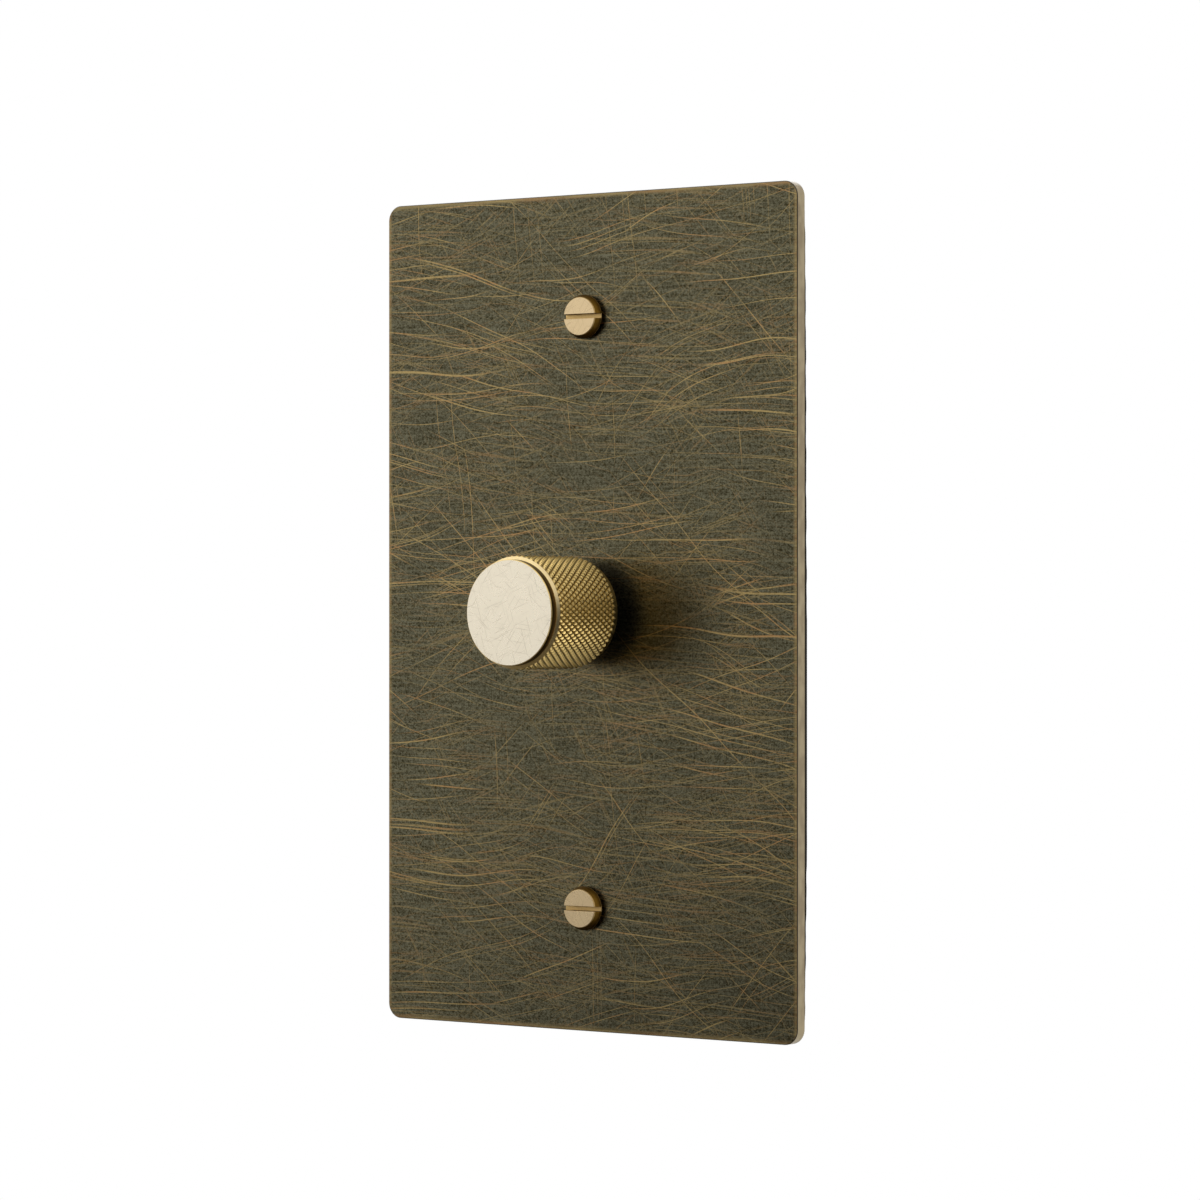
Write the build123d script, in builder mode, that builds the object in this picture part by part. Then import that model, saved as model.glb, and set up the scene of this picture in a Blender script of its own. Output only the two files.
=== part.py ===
from build123d import *

import os
from math import cos, pi, sin

# Rotary dimmer switch for a single wall box, in millimetres.
# X runs to the right and Z up as the plate is seen on the wall, and Y runs into the wall.
# The wall's surface is y = 0, and the knob turns on the Y axis, so depths below are plain y values.

# Face plate
plate_width = 71.2
plate_height = 118.0
plate_thickness = 1.8
plate_corner = 2.15
plate_edge = 0.12
plate_bush_room = 0.5

# Gasket between the plate and the wall
gasket_thickness = 1.2
gasket_inset = 0.4
gasket_room = 0.8

# Fixing screws into the wall box
screw_spacing = 83.3
screw_head_radius = 3.1
screw_head_height = 1.71
screw_face_drop = 0.44
screw_head_taper = 0.9
screw_head_rim = 0.28
screw_shoulder_land = 0.5
screw_slot_width = 0.66
screw_slot_depth = 1.08
screw_neck_radius = 1.4
screw_neck_past_strap = 1.0
screw_thread_radius = 1.75
screw_length = 25.0
screw_point = 0.6
screw_room = 0.15

# Knob
knob_gap = 2.7
knob_reach = 18.08
knob_disc_drop = 0.58
knob_disc_step = 1.19
knob_disc_edge = 0.1
knob_collar_drop = 0.15
knob_collar_height = 0.22
knob_rim_drop = 0.38
knob_rim_height = 0.65
knob_rim_chamfer = 0.25
knob_front_wall = 3.0
knob_recess_depth = 2.3
knob_recess_wall = 0.7

# Diamond knurl round the knob
knurl_count = 58
knurl_rows = 18
knurl_peak_radius = 7.92
knurl_depth = 0.36
knurl_front_run_out = 0.42
knurl_rear_run_out = 0.71
knurl_root_wall = 0.5

# Shaft, its bush and the insert that holds the knob on it
shaft_radius = 3.0
shaft_front_gap = 0.9
shaft_flat = 1.5
shaft_key_across = 4.5
shaft_tip_radius = 2.0
shaft_tip_length = 2.0
shaft_edge = 0.3
running_fit = 0.05
press_fit = 0.02
insert_wall = 1.6
bush_wall = 1.45
bush_into_plate = 0.8
bush_flange_width = 2.0
bush_flange_thickness = 1.0
thread_fit = 0.03
passing_room = 0.15

# Nut and lock washer that hold the bush to the strap
nut_wall = 1.6
nut_thickness = 2.0
nut_chamfer = 0.3
nut_room = 0.5
washer_width = 2.4
washer_thickness = 0.5
washer_teeth = 10
washer_notch_width = 0.9
washer_notch_depth = 0.9

# Retaining clip on the shaft
clip_thickness = 0.6
clip_groove_depth = 0.7
clip_width = 2.2
clip_mouth = 3.4
clip_room = 0.5

# Mounting strap, a folded steel sheet
strap_thickness = 1.2
strap_width = 33.0
strap_end_margin = 7.0
strap_corner = 4.0
strap_bend = 1.5
strap_joggle_run = 3.5
strap_case_margin = 2.0
strap_slot_length = 7.0

# Earth screw on the strap
earth_screw_x = 9.5
earth_screw_room = 0.5
earth_screw_radius = 1.75
earth_head_radius = 3.1
earth_head_height = 1.9
earth_head_edge = 0.6
earth_slot_width = 0.8
earth_slot_depth = 1.0

# Travel of the push switch
push_travel = 1.5
push_room = 0.2

# Rotary control behind the bush
rotor_radius = 6.0
rotor_thickness = 2.0
rotor_lug_reach = 1.2
rotor_lug_angle = 36.0
rotor_side_room = 0.4
rotor_end_room = 0.2
pot_wall = 0.8
pot_stop_angle = 36.0
wiper_width = 1.6
wiper_thickness = 0.3
wiper_dimple_radius = 0.5
wiper_dimple_height = 0.6
wiper_gap = 0.1
wafer_thickness = 0.8
wafer_seat = 0.5
pin_width = 0.8
pin_thickness = 0.5
pin_pitch = 2.5
pin_below_board = 0.9
pin_room = 0.2

# Circuit board
board_thickness = 1.6
board_room = 0.2
board_corner = 1.0

# Two-shell case
case_wall = 1.6
case_side_room = 2.5
case_corner = 3.0
case_rear_chamfer = 1.6
cover_room = 1.85
parts_room = 0.65
vent_count = 5
vent_pitch = 3.4
vent_width = 1.5
vent_length = 9.0

# Screws through the rear cover
case_screw_radius = 1.2
case_screw_length = 17.0
case_screw_head_radius = 2.2
case_screw_head_height = 1.5
case_screw_sink = 0.5
case_screw_well_room = 0.3
case_screw_boss_wall = 1.2
case_screw_cross = 0.6
case_screw_cross_length = 2.9
case_screw_cross_depth = 0.9
case_screw_pilot_wall = 1.4

# Push switch behind the board
switch_half_width = 6.2
switch_wall = 1.0
switch_depth = 8.6
plunger_half_width = 4.0
plunger_flange = 2.4
plunger_room = 0.1
plunger_post_radius = 1.2
plunger_post_length = 1.5
contact_thickness = 0.3
contact_gap = 0.1
contact_width = 5.4
contact_overlap = 0.9
contact_pad_width = 3.0
spring_wire = 0.35
spring_radius = 1.75
spring_turns = 4
spring_room = 0.4

# Terminal block
terminal_pitch = 9.6
terminal_height = 9.8
terminal_side_wall = 1.8
terminal_entry_wall = 3.0
terminal_rear_wall = 2.4
terminal_top_wall = 1.4
terminal_cover_gap = 0.2
terminal_entry_radius = 1.75
terminal_entry_depth = 4.2
terminal_clamp_width = 6.0
terminal_clamp_room = 0.2
terminal_clamp_back = 1.8
terminal_wire_room = 0.25
terminal_screw_radius = 1.4
terminal_head_radius = 2.1
terminal_head_height = 1.6
terminal_head_sink = 0.4
terminal_slot_width = 0.7
terminal_slot_depth = 0.8
terminal_edge = 0.5

# Power parts on the board
sink_thickness = 1.5
sink_side_room = 1.2
sink_depth = 10.5
transistor_width = 4.4
transistor_gap = 0.5
transistor_thickness = 2.3
transistor_depth = 6.5
transistor_stand = 2.6
transistor_lead = 0.7
film_width = 8.5
film_height = 5.2
film_depth = 10.5
film_edge = 0.6
can_radius = 3.15
can_depth = 11.0
can_edge = 0.4
chip_width = 5.0
chip_height = 4.0
chip_depth = 1.5
choke_radius = 4.5
choke_waist = 0.7
choke_flange = 1.0
choke_depth = 6.0

# Depths worked out from the sizes above
plate_back = -gasket_thickness
plate_front = plate_back - plate_thickness
screw_face = plate_front - screw_head_height
screw_rim_front = screw_face + screw_head_taper
screw_rim_back = screw_rim_front + screw_head_rim
screw_thread_start = plate_back + strap_thickness + screw_neck_past_strap
screw_tip = plate_front + screw_length
knob_rear = plate_front - knob_gap
knob_front = plate_front - knob_reach
knob_shoulder = knob_front + knob_disc_step
knurl_front = knob_shoulder + knob_collar_height
knurl_rear = knob_rear - knob_rim_height
knob_recess_floor = knob_rear - knob_recess_depth
knob_bore_end = knob_front + knob_front_wall
shaft_front = knob_bore_end + shaft_front_gap
strap_front = plate_back + washer_thickness + nut_thickness + nut_room
strap_back = strap_front + strap_thickness
case_face = strap_back
bush_flange_front = case_face + case_wall
bush_flange_back = bush_flange_front + bush_flange_thickness
bush_front = plate_back - bush_into_plate
clip_front = bush_flange_back + running_fit
clip_back = clip_front + clip_thickness
pot_floor = clip_back + push_travel + push_room
rotor_front = pot_floor + rotor_end_room
rotor_back = rotor_front + rotor_thickness
wiper_back = rotor_back + wiper_thickness
wafer_front = wiper_back + wiper_dimple_height + wiper_gap
wafer_back = wafer_front + wafer_thickness
board_front = wafer_back
board_back = board_front + board_thickness
shaft_shoulder = wafer_front - push_room
shaft_tip = shaft_shoulder + shaft_tip_length
switch_back = board_back + switch_depth
switch_floor = switch_back - switch_wall
case_back = board_back + max(can_depth, film_depth, sink_depth, switch_depth) + cover_room + case_wall
plunger_front = board_back + plunger_room
plunger_back = plunger_front + plunger_flange
contact_back = plunger_back + contact_thickness
fixed_contact_front = contact_back + push_travel + contact_gap
terminal_wire_radius = terminal_entry_radius + terminal_wire_room
terminal_wire_depth = board_back + terminal_entry_depth
terminal_clamp_end = terminal_wire_depth + terminal_wire_radius + terminal_clamp_back
terminal_pocket_back = terminal_clamp_end + terminal_clamp_room
terminal_back = terminal_pocket_back + terminal_rear_wall
case_screw_seat = case_back - case_screw_sink - case_screw_head_height

# Widths and places worked out from the sizes above
screw_places = [(0, screw_spacing / 2), (0, -screw_spacing / 2)]
screw_hole_radius = screw_thread_radius + screw_room
screw_face_radius = screw_head_radius - screw_face_drop
screw_shoulder_radius = screw_hole_radius + screw_shoulder_land
bush_bore = shaft_radius + running_fit
bush_radius = bush_bore + bush_wall
bush_hole_radius = bush_radius + passing_room
insert_radius = shaft_radius + insert_wall
knob_bore_radius = insert_radius + press_fit
knurl_valley_radius = knurl_peak_radius - knurl_depth
knurl_core_radius = knurl_valley_radius - knurl_root_wall
knob_disc_radius = knurl_peak_radius - knob_disc_drop
knob_collar_radius = knurl_peak_radius - knob_collar_drop
knob_rim_radius = knurl_peak_radius - knob_rim_drop
knob_recess_radius = knurl_core_radius - knob_recess_wall
clip_inner_radius = shaft_radius - clip_groove_depth
clip_radius = clip_inner_radius + clip_width
cavity_radius = rotor_radius + rotor_lug_reach + rotor_side_room
wafer_radius = cavity_radius + wafer_seat
pot_radius = wafer_radius + pot_wall
shaft_passage_radius = shaft_radius + rotor_side_room
well_radius = case_screw_head_radius + case_screw_well_room
case_boss_radius = well_radius + case_screw_boss_wall
sink_bottom = switch_half_width + 2 * parts_room + max(2 * can_radius, film_height)
sink_top = sink_bottom + sink_thickness
case_width = 2 * (pot_radius + case_side_room + case_wall)
case_top = sink_top + passing_room + 2 * case_boss_radius
cover_bottom = -(switch_half_width + parts_room + 2 * case_boss_radius)
terminal_top = cover_bottom - terminal_cover_gap
terminal_bottom = terminal_top - terminal_height
case_bottom = terminal_bottom
case_height = case_top - case_bottom
case_middle = (case_top + case_bottom) / 2
strap_length = plate_height - 2 * strap_end_margin
cover_height = case_top - cover_bottom
cover_middle = (case_top + cover_bottom) / 2
inner_width = case_width - 2 * case_wall
case_boss_x = case_width / 2 - case_boss_radius
case_boss_places = [
    (side * case_boss_x, height)
    for side in (-1, 1)
    for height in (case_top - case_boss_radius, cover_bottom + case_boss_radius)
]
pilot_radius = case_screw_radius + thread_fit
pilot_boss_radius = case_screw_radius + case_screw_pilot_wall
pin_places = [(step * pin_pitch, -(wafer_radius - pin_thickness)) for step in (-1, 0, 1)]
terminal_pocket_bottom = terminal_bottom + terminal_entry_wall
terminal_pocket_top = terminal_top - terminal_top_wall
terminal_pocket_middle = (terminal_pocket_bottom + terminal_pocket_top) / 2
terminal_pocket_height = terminal_pocket_top - terminal_pocket_bottom
terminal_places = [-terminal_pitch / 2, terminal_pitch / 2]
terminal_width = terminal_pitch + terminal_clamp_width + 2 * terminal_side_wall
terminal_head_face = terminal_back - terminal_head_sink
terminal_head_seat = terminal_head_face - terminal_head_height
terminal_screw_places = [(x, terminal_pocket_middle) for x in terminal_places]
joggle_inner = max(case_top, -case_bottom) + strap_case_margin
joggle_outer = joggle_inner + strap_joggle_run
earth_screw_place = (earth_screw_x, -(joggle_outer + strap_bend + earth_head_radius + earth_screw_room))
transistor_pitch = transistor_width + transistor_gap
transistor_z = sink_top + transistor_thickness / 2
film_place = (-parts_room - film_width / 2, sink_bottom - parts_room - film_height / 2)
can_place = (parts_room + can_radius, sink_bottom - parts_room - can_radius)
chip_z = pot_radius + parts_room + chip_height / 2
choke_z = -(pot_radius + parts_room + choke_radius)


def wall_plane(depth):
    """A plane parallel to the wall at this depth, seen from the front. Extruding from it comes forwards."""
    return Plane.XZ.offset(-depth)


def ring_point(radius, depth, step):
    """A point round the knob's axis, in steps of half a diamond."""
    turn = pi * step / knurl_count
    return (radius * cos(turn), depth, radius * sin(turn))


def knurl_corner(level, step, depths):
    """A corner of the knurl. Peaks and valleys alternate round each level and from level to level."""
    inside = 0 < level < len(depths) - 1
    proud = inside and (level + step) % 2 == 0
    return ring_point(knurl_peak_radius if proud else knurl_valley_radius, depths[level], step)


def knurl_band():
    """A ring whose outside is a diamond knurl: rows of four-sided pyramids that meet along their valleys."""
    first = knurl_front + knurl_front_run_out
    last = knurl_rear - knurl_rear_run_out
    pitch = (last - first) / (knurl_rows - 1)
    depths = [knurl_front] + [first + row * pitch for row in range(knurl_rows)] + [knurl_rear]
    faces = []
    for level in range(len(depths) - 1):
        for step in range(2 * knurl_count):
            a = knurl_corner(level, step, depths)
            b = knurl_corner(level, step + 1, depths)
            c = knurl_corner(level + 1, step + 1, depths)
            d = knurl_corner(level + 1, step, depths)
            halves = [(a, b, d), (b, c, d)] if (level + step) % 2 == 0 else [(a, b, c), (a, c, d)]
            faces += [Face(Wire.make_polygon(corners)) for corners in halves]
    front_ring, rear_ring = [
        [ring_point(knurl_core_radius, depth, step) for step in range(2 * knurl_count + 1)]
        for depth in (knurl_front, knurl_rear)
    ]
    for step in range(2 * knurl_count):
        corners = front_ring[step : step + 2] + rear_ring[step : step + 2][::-1]
        faces.append(Face(Wire.make_polygon(corners)))
    for level, ring in ((0, front_ring), (len(depths) - 1, rear_ring)):
        outline = [knurl_corner(level, step, depths) for step in range(2 * knurl_count)]
        faces.append(Face(Wire.make_polygon(outline), [Wire.make_polygon(ring[:-1])]))
    return Solid(Shell(faces))


# Face plate: a flat sheet with a hole for the bush and two for the fixing screws
with BuildPart() as face_plate:
    with BuildSketch(wall_plane(plate_back)):
        RectangleRounded(plate_width, plate_height, plate_corner)
        Circle(bush_radius + plate_bush_room, mode=Mode.SUBTRACT)
        with Locations(*screw_places):
            Circle(screw_hole_radius, mode=Mode.SUBTRACT)
    extrude(amount=plate_thickness)
    chamfer(face_plate.faces().sort_by(Axis.Y)[0].outer_wire().edges(), plate_edge)

# Wall gasket: a frame a little smaller than the plate, open round the strap
with BuildPart() as wall_gasket:
    with BuildSketch(wall_plane(0)):
        RectangleRounded(
            plate_width - 2 * gasket_inset, plate_height - 2 * gasket_inset, plate_corner - gasket_inset
        )
        RectangleRounded(
            strap_width + 2 * gasket_room,
            strap_length + 2 * gasket_room,
            strap_corner + gasket_room,
            mode=Mode.SUBTRACT,
        )
    extrude(amount=gasket_thickness)

# Fixing screws: slotted tapered heads on a low shoulder, a plain neck and the threaded length
with BuildPart() as fixing_screws:
    for x, z in screw_places:
        with BuildSketch(Plane.XY.offset(z)):
            with BuildLine():
                Polyline(
                    (x + screw_face_radius, screw_face),
                    (x + screw_head_radius, screw_rim_front),
                    (x + screw_head_radius, screw_rim_back),
                    (x + screw_shoulder_radius, screw_rim_back),
                    (x + screw_shoulder_radius, plate_front),
                    (x + screw_neck_radius, plate_front),
                    (x + screw_neck_radius, screw_thread_start),
                    (x + screw_thread_radius, screw_thread_start),
                    (x + screw_thread_radius, screw_tip - screw_point),
                    (x + screw_thread_radius - screw_point, screw_tip),
                    (x, screw_tip),
                    (x, screw_face),
                    close=True,
                )
            make_face()
        revolve(axis=Axis((x, 0, z), (0, 1, 0)))
    with BuildSketch(wall_plane(screw_face + screw_slot_depth)):
        with Locations(*screw_places):
            Rectangle(2 * screw_head_radius + screw_slot_width, screw_slot_width)
    extrude(amount=screw_slot_depth, mode=Mode.SUBTRACT)

# Knob: a turned body with a raised front disc, a plain rear rim and a knurled band between them
with BuildPart() as knob:
    with BuildSketch(Plane.XY):
        with BuildLine():
            Polyline(
                (0, knob_front),
                (knob_disc_radius - knob_disc_edge, knob_front),
                (knob_disc_radius, knob_front + knob_disc_edge),
                (knob_disc_radius, knob_shoulder),
                (knob_collar_radius, knurl_front),
                (knurl_core_radius + knurl_root_wall / 2, knurl_front),
                (knurl_core_radius + knurl_root_wall / 2, knurl_rear),
                (knob_rim_radius, knurl_rear),
                (knob_rim_radius, knob_rear - knob_rim_chamfer),
                (knob_rim_radius - knob_rim_chamfer, knob_rear),
                (knob_recess_radius, knob_rear),
                (knob_recess_radius, knob_recess_floor),
                (knob_bore_radius, knob_recess_floor),
                (knob_bore_radius, knob_bore_end),
                (0, knob_bore_end),
                close=True,
            )
        make_face()
    revolve(axis=Axis.Y)
    add(knurl_band())

# Knob insert: a sleeve with a flat in its bore, pressed into the knob
with BuildPart() as knob_insert:
    with BuildSketch(wall_plane(knob_recess_floor)):
        Circle(insert_radius)
    extrude(amount=knob_recess_floor - knob_bore_end)
    with BuildSketch(wall_plane(knob_recess_floor)):
        Circle(shaft_radius + press_fit)
        with Locations((0, 2 * shaft_radius - shaft_flat + press_fit)):
            Rectangle(4 * shaft_radius, 2 * shaft_radius, mode=Mode.SUBTRACT)
    extrude(amount=knob_recess_floor - knob_bore_end, mode=Mode.SUBTRACT)

# Shaft: a flat for the knob, a groove for the clip, two flats that key the rotor, and a thin push tip
with BuildPart() as shaft:
    with BuildSketch(Plane.XY):
        with BuildLine():
            Polyline(
                (0, shaft_front),
                (shaft_radius - shaft_edge, shaft_front),
                (shaft_radius, shaft_front + shaft_edge),
                (shaft_radius, clip_front),
                (clip_inner_radius, clip_front),
                (clip_inner_radius, clip_back),
                (shaft_radius, clip_back),
                (shaft_radius, shaft_shoulder),
                (shaft_tip_radius, shaft_shoulder),
                (shaft_tip_radius, shaft_tip),
                (0, shaft_tip),
                close=True,
            )
        make_face()
    revolve(axis=Axis.Y)
    with BuildSketch(wall_plane(knob_recess_floor)):
        with Locations((0, 2 * shaft_radius - shaft_flat)):
            Rectangle(4 * shaft_radius, 2 * shaft_radius)
    extrude(amount=knob_recess_floor - shaft_front, mode=Mode.SUBTRACT)
    with BuildSketch(wall_plane(shaft_shoulder)):
        with GridLocations(0, shaft_key_across + 2 * shaft_radius, 1, 2):
            Rectangle(4 * shaft_radius, 2 * shaft_radius)
    extrude(amount=shaft_shoulder - clip_back, mode=Mode.SUBTRACT)

# Retaining clip: an open spring ring in the shaft's groove, behind the bush
with BuildPart() as retaining_clip:
    with BuildSketch(wall_plane(clip_back)):
        Circle(clip_radius)
        Circle(clip_inner_radius + press_fit, mode=Mode.SUBTRACT)
        with Locations((0, -clip_radius)):
            Rectangle(clip_mouth, 2 * clip_radius, mode=Mode.SUBTRACT)
    extrude(amount=clip_thickness)

# Mounting strap: flat ends against the plate, and a middle set back far enough for the nut
with BuildPart() as mounting_strap:
    end_line = plate_back + strap_thickness / 2
    middle_line = strap_front + strap_thickness / 2
    with BuildSketch(Plane.YZ):
        with BuildLine():
            FilletPolyline(
                (end_line, -strap_length / 2),
                (end_line, -joggle_outer),
                (middle_line, -joggle_inner),
                (middle_line, joggle_inner),
                (end_line, joggle_outer),
                (end_line, strap_length / 2),
                radius=strap_bend,
            )
        trace(line_width=strap_thickness)
    extrude(amount=strap_width / 2, both=True)
    with BuildSketch(wall_plane(strap_back)):
        RectangleRounded(strap_width, strap_length, strap_corner)
    extrude(amount=strap_back - plate_back, mode=Mode.INTERSECT)
    with BuildSketch(wall_plane(strap_back)):
        Circle(bush_hole_radius)
        with Locations(*screw_places):
            SlotOverall(strap_slot_length, 2 * screw_hole_radius)
        with Locations(earth_screw_place):
            Circle(earth_screw_radius + thread_fit)
    extrude(amount=strap_back - plate_back, mode=Mode.SUBTRACT)

# Earth screw: a slotted pan head on the back of the strap
with BuildPart() as earth_screw:
    earth_seat = plate_back + strap_thickness
    with BuildSketch(wall_plane(earth_seat)):
        with Locations(earth_screw_place):
            Circle(earth_screw_radius)
    extrude(amount=strap_thickness - press_fit)
    with BuildSketch(wall_plane(earth_seat + earth_head_height)):
        with Locations(earth_screw_place):
            Circle(earth_head_radius)
    extrude(amount=earth_head_height)
    chamfer(earth_screw.faces().sort_by(Axis.Y)[-1].edges(), earth_head_edge)
    with BuildSketch(wall_plane(earth_seat + earth_head_height)):
        with Locations(earth_screw_place):
            Rectangle(3 * earth_head_radius, earth_slot_width)
    extrude(amount=earth_slot_depth, mode=Mode.SUBTRACT)

# Bush: a flanged tube that guides the shaft
with BuildPart() as bush:
    with BuildSketch(Plane.XY):
        with BuildLine():
            Polyline(
                (bush_bore, bush_front),
                (bush_radius - shaft_edge, bush_front),
                (bush_radius, bush_front + shaft_edge),
                (bush_radius, bush_flange_front),
                (bush_radius + bush_flange_width, bush_flange_front),
                (bush_radius + bush_flange_width, bush_flange_back),
                (bush_bore, bush_flange_back),
                close=True,
            )
        make_face()
    revolve(axis=Axis.Y)

# Lock washer: a notched ring under the nut
with BuildPart() as lock_washer:
    washer_radius = bush_hole_radius + washer_width
    with BuildSketch(wall_plane(strap_front)):
        Circle(washer_radius)
        Circle(bush_hole_radius, mode=Mode.SUBTRACT)
        with PolarLocations(washer_radius, washer_teeth):
            Rectangle(2 * washer_notch_depth, washer_notch_width, mode=Mode.SUBTRACT)
    extrude(amount=washer_thickness)

# Bush nut: a thin hexagon, chamfered on its front
with BuildPart() as bush_nut:
    nut_inner_radius = bush_radius + thread_fit
    with BuildSketch(wall_plane(strap_front - washer_thickness)):
        RegularPolygon(nut_inner_radius + nut_wall, 6, major_radius=False)
        Circle(nut_inner_radius, mode=Mode.SUBTRACT)
    extrude(amount=nut_thickness)
    chamfer(bush_nut.faces().sort_by(Axis.Y)[0].outer_wire().edges(), nut_chamfer)

# Front case: a shallow tray against the strap, with four posts that carry the board
with BuildPart() as case_front:
    with BuildSketch(wall_plane(board_back)):
        with Locations((0, case_middle)):
            RectangleRounded(case_width, case_height, case_corner)
    extrude(amount=board_back - case_face)
    with BuildSketch(wall_plane(board_back)):
        with Locations((0, case_middle)):
            RectangleRounded(inner_width, case_height - 2 * case_wall, case_corner - case_wall)
    extrude(amount=board_back - bush_flange_front, mode=Mode.SUBTRACT)
    with BuildSketch(wall_plane(board_front)):
        with Locations(*case_boss_places):
            Circle(pilot_boss_radius)
    extrude(amount=board_front - bush_flange_front)
    with BuildSketch(wall_plane(board_front)):
        with Locations(*case_boss_places):
            Circle(pilot_radius)
    extrude(amount=board_front - bush_flange_front, mode=Mode.SUBTRACT)
    with BuildSketch(wall_plane(bush_flange_front)):
        Circle(bush_hole_radius)
    extrude(amount=case_wall, mode=Mode.SUBTRACT)

# Rear cover: a deeper tray over the upper part of the board, with vents and four sunk screw seats
with BuildPart() as case_rear:
    with BuildSketch(wall_plane(case_back)):
        with Locations((0, cover_middle)):
            RectangleRounded(case_width, cover_height, case_corner)
    extrude(amount=case_back - board_back)
    chamfer(case_rear.faces().sort_by(Axis.Y)[-1].outer_wire().edges(), case_rear_chamfer)
    with BuildSketch(wall_plane(case_back - case_wall)):
        with Locations((0, cover_middle)):
            RectangleRounded(inner_width, cover_height - 2 * case_wall, case_corner - case_wall)
        with Locations(*case_boss_places):
            Circle(case_boss_radius, mode=Mode.SUBTRACT)
    extrude(amount=case_back - case_wall - board_back, mode=Mode.SUBTRACT)
    with BuildSketch(wall_plane(case_screw_seat)):
        with Locations(*case_boss_places):
            Circle(case_screw_radius + passing_room)
    extrude(amount=case_screw_seat - board_back, mode=Mode.SUBTRACT)
    with BuildSketch(wall_plane(case_back)):
        with Locations(*case_boss_places):
            Circle(well_radius)
        with Locations((0, cover_middle)):
            with GridLocations(0, vent_pitch, 1, vent_count):
                Rectangle(vent_length, vent_width)
    extrude(amount=case_back - case_screw_seat, mode=Mode.SUBTRACT)

# Case screws: cross-slotted screws through cover and board into the posts of the front case
with BuildPart() as case_screws:
    with BuildSketch(wall_plane(case_screw_seat)):
        with Locations(*case_boss_places):
            Circle(case_screw_radius)
    extrude(amount=case_screw_length)
    with BuildSketch(wall_plane(case_screw_seat + case_screw_head_height)):
        with Locations(*case_boss_places):
            Circle(case_screw_head_radius)
    extrude(amount=case_screw_head_height)
    with BuildSketch(wall_plane(case_screw_seat + case_screw_head_height)):
        with Locations(*case_boss_places):
            Rectangle(case_screw_cross_length, case_screw_cross)
            Rectangle(case_screw_cross, case_screw_cross_length)
    extrude(amount=case_screw_cross_depth, mode=Mode.SUBTRACT)

# Circuit board: open for the shaft and plunger, the case screws and the control's pins
with BuildPart() as circuit_board:
    with BuildSketch(wall_plane(board_back)):
        with Locations((0, case_middle)):
            RectangleRounded(
                inner_width - 2 * board_room, case_height - 2 * case_wall - 2 * board_room, board_corner
            )
        Circle(shaft_passage_radius, mode=Mode.SUBTRACT)
        with Locations(*case_boss_places):
            Circle(case_screw_radius + passing_room, mode=Mode.SUBTRACT)
        with Locations(*pin_places):
            Rectangle(pin_width + pin_room, pin_thickness + pin_room, mode=Mode.SUBTRACT)
    extrude(amount=board_thickness)

# Control housing: a round cup with a recess for the clip, a stop rib and a seat for the wafer
with BuildPart() as pot_housing:
    with BuildSketch(wall_plane(wafer_back)):
        Circle(pot_radius)
    extrude(amount=wafer_back - bush_flange_back)
    with BuildSketch(wall_plane(wafer_back)):
        Circle(wafer_radius + press_fit)
    extrude(amount=wafer_thickness, mode=Mode.SUBTRACT)
    with BuildSketch(wall_plane(wafer_front)):
        Circle(cavity_radius)
        with BuildLine():
            stop_arc = CenterArc((0, 0), 2 * cavity_radius, 270 - pot_stop_angle / 2, pot_stop_angle)
            Polyline(stop_arc @ 1, (0, 0), stop_arc @ 0)
        make_face(mode=Mode.SUBTRACT)
        Circle(rotor_radius + rotor_side_room)
    extrude(amount=wafer_front - pot_floor, mode=Mode.SUBTRACT)
    with BuildSketch(wall_plane(pot_floor)):
        Circle(clip_radius + clip_room)
    extrude(amount=pot_floor - bush_flange_back, mode=Mode.SUBTRACT)

# Rotor: a disc with a lug that meets the stop rib, keyed to the shaft's flats
with BuildPart() as rotor:
    with BuildSketch(wall_plane(rotor_back)):
        with BuildLine():
            lug_radius = rotor_radius + rotor_lug_reach
            lug_arc = CenterArc((0, 0), lug_radius, 90 - rotor_lug_angle / 2, rotor_lug_angle)
            Polyline(lug_arc @ 1, (0, 0), lug_arc @ 0)
        make_face()
        Circle(rotor_radius)
    extrude(amount=rotor_thickness)
    with BuildSketch(wall_plane(rotor_back)):
        Circle(shaft_radius + running_fit)
        Rectangle(4 * shaft_radius, shaft_key_across + 2 * running_fit, mode=Mode.INTERSECT)
    extrude(amount=rotor_thickness, mode=Mode.SUBTRACT)

# Wiper: a thin spring ring on the rotor, with two dimples that run on the wafer
with BuildPart() as wiper:
    with BuildSketch(wall_plane(wiper_back)):
        Circle(rotor_radius)
        Circle(rotor_radius - wiper_width, mode=Mode.SUBTRACT)
    extrude(amount=wiper_thickness)
    with BuildSketch(wall_plane(wiper_back + wiper_dimple_height)):
        with PolarLocations(rotor_radius - wiper_width / 2, 2):
            Circle(wiper_dimple_radius)
    extrude(amount=wiper_dimple_height)

# Track wafer: the disc that carries the resistance track
with BuildPart() as track_wafer:
    with BuildSketch(wall_plane(wafer_back)):
        Circle(wafer_radius)
        Circle(shaft_passage_radius, mode=Mode.SUBTRACT)
    extrude(amount=wafer_thickness)

# Control pins: three tails from the wafer through the board
with BuildPart() as control_pins:
    with BuildSketch(wall_plane(board_back + pin_below_board)):
        with Locations(*pin_places):
            Rectangle(pin_width, pin_thickness)
    extrude(amount=pin_below_board + board_thickness)

# Switch housing: a square cup behind the board
with BuildPart() as switch_housing:
    with BuildSketch(wall_plane(switch_back)):
        Rectangle(2 * switch_half_width, 2 * switch_half_width)
    extrude(amount=switch_depth)
    with BuildSketch(wall_plane(switch_floor)):
        Rectangle(2 * (switch_half_width - switch_wall), 2 * (switch_half_width - switch_wall))
    extrude(amount=switch_depth - switch_wall, mode=Mode.SUBTRACT)

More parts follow.
